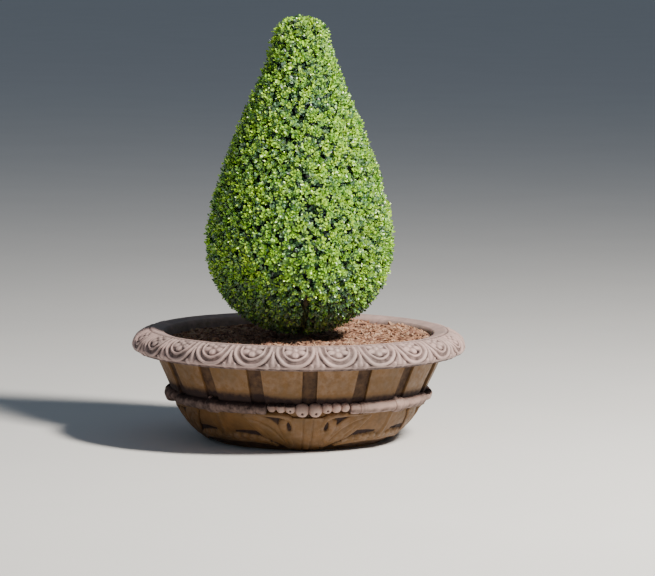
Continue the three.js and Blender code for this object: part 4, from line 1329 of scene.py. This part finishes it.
def shade_core_surface():
    """Dense dark core, painted shade deep in the crown, a lumpy skin well inside the outline.

    It is the outline drawn in by the depth at each share of its length and moved by ripples.
    """
    curve = spline(mm(OUTLINE), 90)[6:-9]
    shares, depths = np.array(SHADE_CORE_DEPTHS).T
    inset = np.interp(np.linspace(0, 1, len(curve)), shares, depths * MM)
    inner = curve - outward(curve) * inset[:, None]
    turn = np.arange(110)[None, :] * FULL_TURN / 110
    spot = around(inner[:, :1], turn, inner[:, 1:])
    lumps = 5 * MM * ripples(spot, 0.05, 81) + 2 * MM * ripples(spot, 0.02, 82)
    grid = around(np.maximum(inner[:, :1] + lumps, 5 * MM), turn, inner[:, 1:])
    return closed(grid)


# Operators


def pot(context):
    """The settings of the pot."""
    return context.scene.topiary_pot


def warm_stone(settings):
    """Colour of the rails and the lobes, between the rim's and the wall's."""
    return tuple(
        0.72 * rim + 0.42 * wall
        for rim, wall in zip(settings.rim_colour, settings.wall_colour)
    )


class TOPIARY_OT_bowl(Operator):
    """Make the bowl: foot, belly with low leaves, and the wall with its sunk strips"""

    bl_idname = "topiary.bowl"
    bl_label = "Bowl"

    def execute(self, context):
        settings = pot(context)
        finish = stone_material("wall_stone", settings.wall_colour, settings.patina_and_shade_colour, 0.25)
        make_piece("bowl_wall", bowl_surface(settings), finish, ["pot_bowl"], 38)
        return {"FINISHED"}


class TOPIARY_OT_rim(Operator):
    """Make the rim with its ring of scalloped rosettes"""

    bl_idname = "topiary.rim"
    bl_label = "Rim"

    def execute(self, context):
        settings = pot(context)
        finish = stone_material("rim_stone", settings.rim_colour, settings.patina_and_shade_colour, 0.75)
        make_piece("rim_carved", rim_surface(settings), finish, ["pot_rim"], 60)
        return {"FINISHED"}


class TOPIARY_OT_rails(Operator):
    """Make the eight rails and the four knots that tie them"""

    bl_idname = "topiary.rails"
    bl_label = "Rails and knots"

    def execute(self, context):
        settings = pot(context)
        finish = stone_material("rail_stone", warm_stone(settings), settings.patina_and_shade_colour, 0.5)
        near, far = PALMETTE_HALF_ANGLE + JOINT_ANGLE, KNOT_TURN - KNOT_HALF_ANGLE
        spans = [(near, far, near), (QUARTER - far, QUARTER - near, QUARTER - near)]
        for quarter in range(4):
            turn = quarter * QUARTER
            for half, span in enumerate(spans):
                number = 2 * quarter + half + 1
                surface = rail_surface(*(angle + turn for angle in span))
                make_piece(f"rail_cast_{number}", surface, finish, [f"rail_{number}"], 50)
            number = quarter + 1
            surface = knot_surface(KNOT_TURN + turn)
            make_piece(f"knot_cast_{number}", surface, finish, [f"knot_{number}"], 60)
        return {"FINISHED"}


class TOPIARY_OT_palmettes(Operator):
    """Make the four carved palmettes with their rows of lobes"""

    bl_idname = "topiary.palmettes"
    bl_label = "Palmettes"

    def execute(self, context):
        settings = pot(context)
        leafy_colour = scaled(settings.wall_colour, 0.9)
        leafy = stone_material("palmette_stone", leafy_colour, settings.patina_and_shade_colour, 0.2)
        rubbed = stone_material("lobe_stone", warm_stone(settings), settings.patina_and_shade_colour, 0.4)
        front_lobes = joined([
            lobe_surface(side * math.radians(turn), *sizes, turn < DRILLED_WITHIN)
            for turn, *sizes in LOBES for side in (-1, 1)
        ])
        front_leaves = palmette_surface()
        for number in range(1, 5):
            turn, nodes = (number - 1) * QUARTER, [f"palmette_{number}"]
            leaves = turned_about(front_leaves, turn)
            make_piece(f"palmette_carved_{number}", leaves, leafy, nodes, 60)
            lobes = turned_about(front_lobes, turn)
            # lobes on the dark side are darkened: partly weathering, partly painted shade of the rim's
            # shadow
            weathering_and_shade = weathering_and_painted_shade(np.arctan2(lobes.points[:, 0], -lobes.points[:, 1]))
            lobes.tone = np.maximum(lobes.tone, 0.75 * weathering_and_shade)
            make_piece(f"palmette_lobes_{number}", lobes, rubbed, nodes, 60)
        return {"FINISHED"}


class TOPIARY_OT_mulch(Operator):
    """Make the heap of mulch and the bark chips on it"""

    bl_idname = "topiary.mulch"
    bl_label = "Mulch"

    def execute(self, context):
        settings = context.scene.topiary_mulch
        ground = chip_material("fine_mulch", settings.ground_colour)
        make_piece("mulch_ground", soil_surface(), ground, ["soil"])
        draw = np.random.default_rng(SEED + 1)
        count = settings.chips
        turn = draw.uniform(0, FULL_TURN, count)
        lengths = settings.chip_length * np.clip(draw.lognormal(0, 0.42, count), 0.35, 2.4)
        outer = CHIPS_WITHIN * MM - 0.45 * lengths
        radius = np.sqrt(draw.uniform(CHIPS_FROM**2, 1, count)) * outer
        x, y = radius * np.sin(turn), -radius * np.cos(turn)
        step = 4 * MM
        height = soil_height(x, y)
        slope_x = (soil_height(x + step, y) - height) / step
        slope_y = (soil_height(x, y + step) - height) / step
        ground_up = unit(np.stack([-slope_x, -slope_y, np.ones(count)], axis=-1))
        ups = unit(ground_up + 0.30 * draw.normal(size=(count, 3)))
        ways = draw.normal(size=(count, 3)) * np.array([1, 1, 0.22])
        centres = np.stack([x, y, height + draw.uniform(-1.0, 3.5, count) * MM], axis=-1)
        facings = frames(np.cross(np.cross(ups, ways), ups), ups)
        widths = lengths * draw.uniform(0.22, 0.48, count)
        thicknesses = widths * draw.uniform(0.25, 0.6, count)
        dealt = draw.choice(len(CHIP_TINTS), count, p=[share for _, share in CHIP_TINTS.values()])
        for number, (tint, (colour, _)) in enumerate(CHIP_TINTS.items()):
            own = dealt == number
            places = (values[own] for values in (centres, lengths, widths, thicknesses, facings))
            surface = chip_surface(*places, draw)
            finish = chip_material(f"chip_{tint}", colour)
            make_piece(f"mulch_chips_{tint}", surface, finish, ["soil"], 30)
        return {"FINISHED"}


class TOPIARY_OT_limbs(Operator):
    """Make the trunk and the boughs with their bark"""

    bl_idname = "topiary.limbs"
    bl_label = "Trunk and boughs"

    def execute(self, context):
        finish = bark_material("corky_bark", CORKY_BARK)
        make_piece("trunk_bark", trunk_surface(), finish, ["trunk"])
        for index in range(BOUGHS):
            name = f"bough_{index + 1}"
            make_piece(f"{name}_bark", bough_surface(index), finish, [name])
        return {"FINISHED"}


class TOPIARY_OT_crown(Operator):
    """Grow the crown: stem, branches, twigs, shoots and their leaves in four tints"""

    bl_idname = "topiary.crown"
    bl_label = "Crown"

    def execute(self, context):
        settings = context.scene.topiary_crown
        outline, draw = Outline(), np.random.default_rng(SEED)
        (stem, branches, twigs, shoots), out, inner = grow_crown(settings, outline, draw)
        limbs = joined([tubes(*stem, 10), tubes(*branches, 6), tubes(*twigs, 4)])
        make_piece("crown_limbs", limbs, bark_material("limb_bark", LIMB_BARK), ["crown"])
        green_bark = bark_material("shoot_bark", SHOOT_BARK)
        make_piece("crown_shoots", tubes(*shoots, 3), green_bark, ["crown"])
        # painted shade: a dark core deep in the crown that darkens the gaps between the leaves
        shade_core = leaf_material("painted_shade_core", scaled(settings.deep_colour, 0.3), 0)
        make_piece("crown_shade_core", shade_core_surface(), shade_core, ["crown"])
        *leaves, shades = shoot_leaves(shoots[0], out, inner, draw, settings, outline)
        tints = {
            "fresh": settings.fresh_colour,
            "bright": settings.bright_colour,
            "green": settings.green_colour,
            "deep": settings.deep_colour,
        }
        dealt = np.digitize(shades, TINT_STEPS)
        for number, (tint, colour) in enumerate(tints.items()):
            own = np.flatnonzero(dealt == number)
            finish = leaf_material(f"leaf_{tint}", tuple(colour), number * 3.0)
            for part, some in enumerate(np.array_split(own, math.ceil(len(own) / LEAVES_A_PIECE))):
                surface = leaf_surface(*(values[some] for values in leaves))
                make_piece(f"crown_leaves_{tint}_{part + 1}", surface, finish, ["crown"])
        return {"FINISHED"}


def aim(height, distance, azimuth):
    """The camera's place and turn: pitched down and turned aside a little, with a slight roll."""
    pitch, aside, roll = math.radians(6.061), math.radians(0.4265), math.radians(0.5)
    spot = Vector((math.sin(azimuth) * distance, -math.cos(azimuth) * distance, height))
    look = Euler((QUARTER - pitch, 0, azimuth - aside)).to_matrix()
    return spot, (look @ Matrix.Rotation(roll, 3, "Z")).to_euler()


def add_light(name, spot, target, size, power, colour):
    """A square area light at a spot, turned to a target."""
    light = bpy.data.lights.new(name, "AREA")
    light.size = size
    light.energy = power
    light.color = colour
    made = bpy.data.objects.new(name, light)
    made.location = spot
    made.rotation_euler = (Vector(target) - Vector(spot)).to_track_quat("-Z", "Y").to_euler()
    bpy.context.scene.collection.objects.link(made)


class TOPIARY_OT_stage(Operator):
    """Make the floor, the studio lights and the camera"""

    bl_idname = "topiary.stage"
    bl_label = "Stage"

    def execute(self, context):
        settings = context.scene.topiary_stage
        mesh = bpy.data.meshes.new("floor")
        signs = [(-1, -1), (1, -1), (1, 1), (-1, 1)]
        corners = [(x * FLOOR_HALF, y * FLOOR_HALF, 0) for x, y in signs]
        mesh.from_pydata(corners, [], [(0, 1, 2, 3)])
        mesh.materials.append(floor_material(settings.floor_colour))
        floor = bpy.data.objects.new("floor", mesh)
        context.scene.collection.objects.link(floor)
        middle = (0, 0, 0.7)
        add_light("key", (3.36, -3.13, 5.3), middle, 0.9, 1150, (1.0, 0.95, 0.87))
        add_light("fill", (-4.6, -3.4, 3.2), middle, 3.6, 14, (0.74, 0.87, 1.0))
        world = bpy.data.worlds.new("studio")
        world.use_nodes = True
        background = world.node_tree.nodes["Background"]
        background.inputs["Color"].default_value = (0.66, 0.80, 1.0, 1)
        background.inputs["Strength"].default_value = 0.16
        context.scene.world = world
        lens = bpy.data.cameras.new("camera")
        lens.lens = settings.lens
        lens.sensor_width = 36
        lens.clip_end = 300
        camera = bpy.data.objects.new("camera", lens)
        camera.location, camera.rotation_euler = aim(settings.height, settings.distance, settings.azimuth)
        context.scene.collection.objects.link(camera)
        context.scene.camera = camera
        return {"FINISHED"}


class TOPIARY_PT_sidebar(Panel):
    """Lists the operators in the order they are run"""

    bl_label = "Topiary"
    bl_space_type = "VIEW_3D"
    bl_region_type = "UI"
    bl_category = "Topiary"

    def draw(self, context):
        for operator in OPERATORS:
            self.layout.operator(operator.bl_idname)


SETTINGS = {
    "topiary_pot": TOPIARY_PG_pot,
    "topiary_mulch": TOPIARY_PG_mulch,
    "topiary_crown": TOPIARY_PG_crown,
    "topiary_stage": TOPIARY_PG_stage,
}
OPERATORS = (
    TOPIARY_OT_stage,
    TOPIARY_OT_bowl,
    TOPIARY_OT_rim,
    TOPIARY_OT_rails,
    TOPIARY_OT_palmettes,
    TOPIARY_OT_mulch,
    TOPIARY_OT_limbs,
    TOPIARY_OT_crown,
)


def register():
    """Registers the classes and hangs the settings on the scene."""
    for group in SETTINGS.values():
        bpy.utils.register_class(group)
    for operator in OPERATORS:
        bpy.utils.register_class(operator)
    bpy.utils.register_class(TOPIARY_PT_sidebar)
    for name, group in SETTINGS.items():
        setattr(bpy.types.Scene, name, PointerProperty(type=group))


def unregister():
    """Takes the settings off the scene and unregisters the classes."""
    for name in SETTINGS:
        delattr(bpy.types.Scene, name)
    bpy.utils.unregister_class(TOPIARY_PT_sidebar)
    for operator in reversed(OPERATORS):
        bpy.utils.unregister_class(operator)
    for group in reversed(SETTINGS.values()):
        bpy.utils.unregister_class(group)


def main():
    register()
    bpy.ops.topiary.stage()
    bpy.ops.topiary.bowl()
    bpy.ops.topiary.rim()
    bpy.ops.topiary.rails()
    bpy.ops.topiary.palmettes()
    bpy.ops.topiary.mulch()
    bpy.ops.topiary.limbs()
    bpy.ops.topiary.crown()


if __name__ == "__main__":
    main()
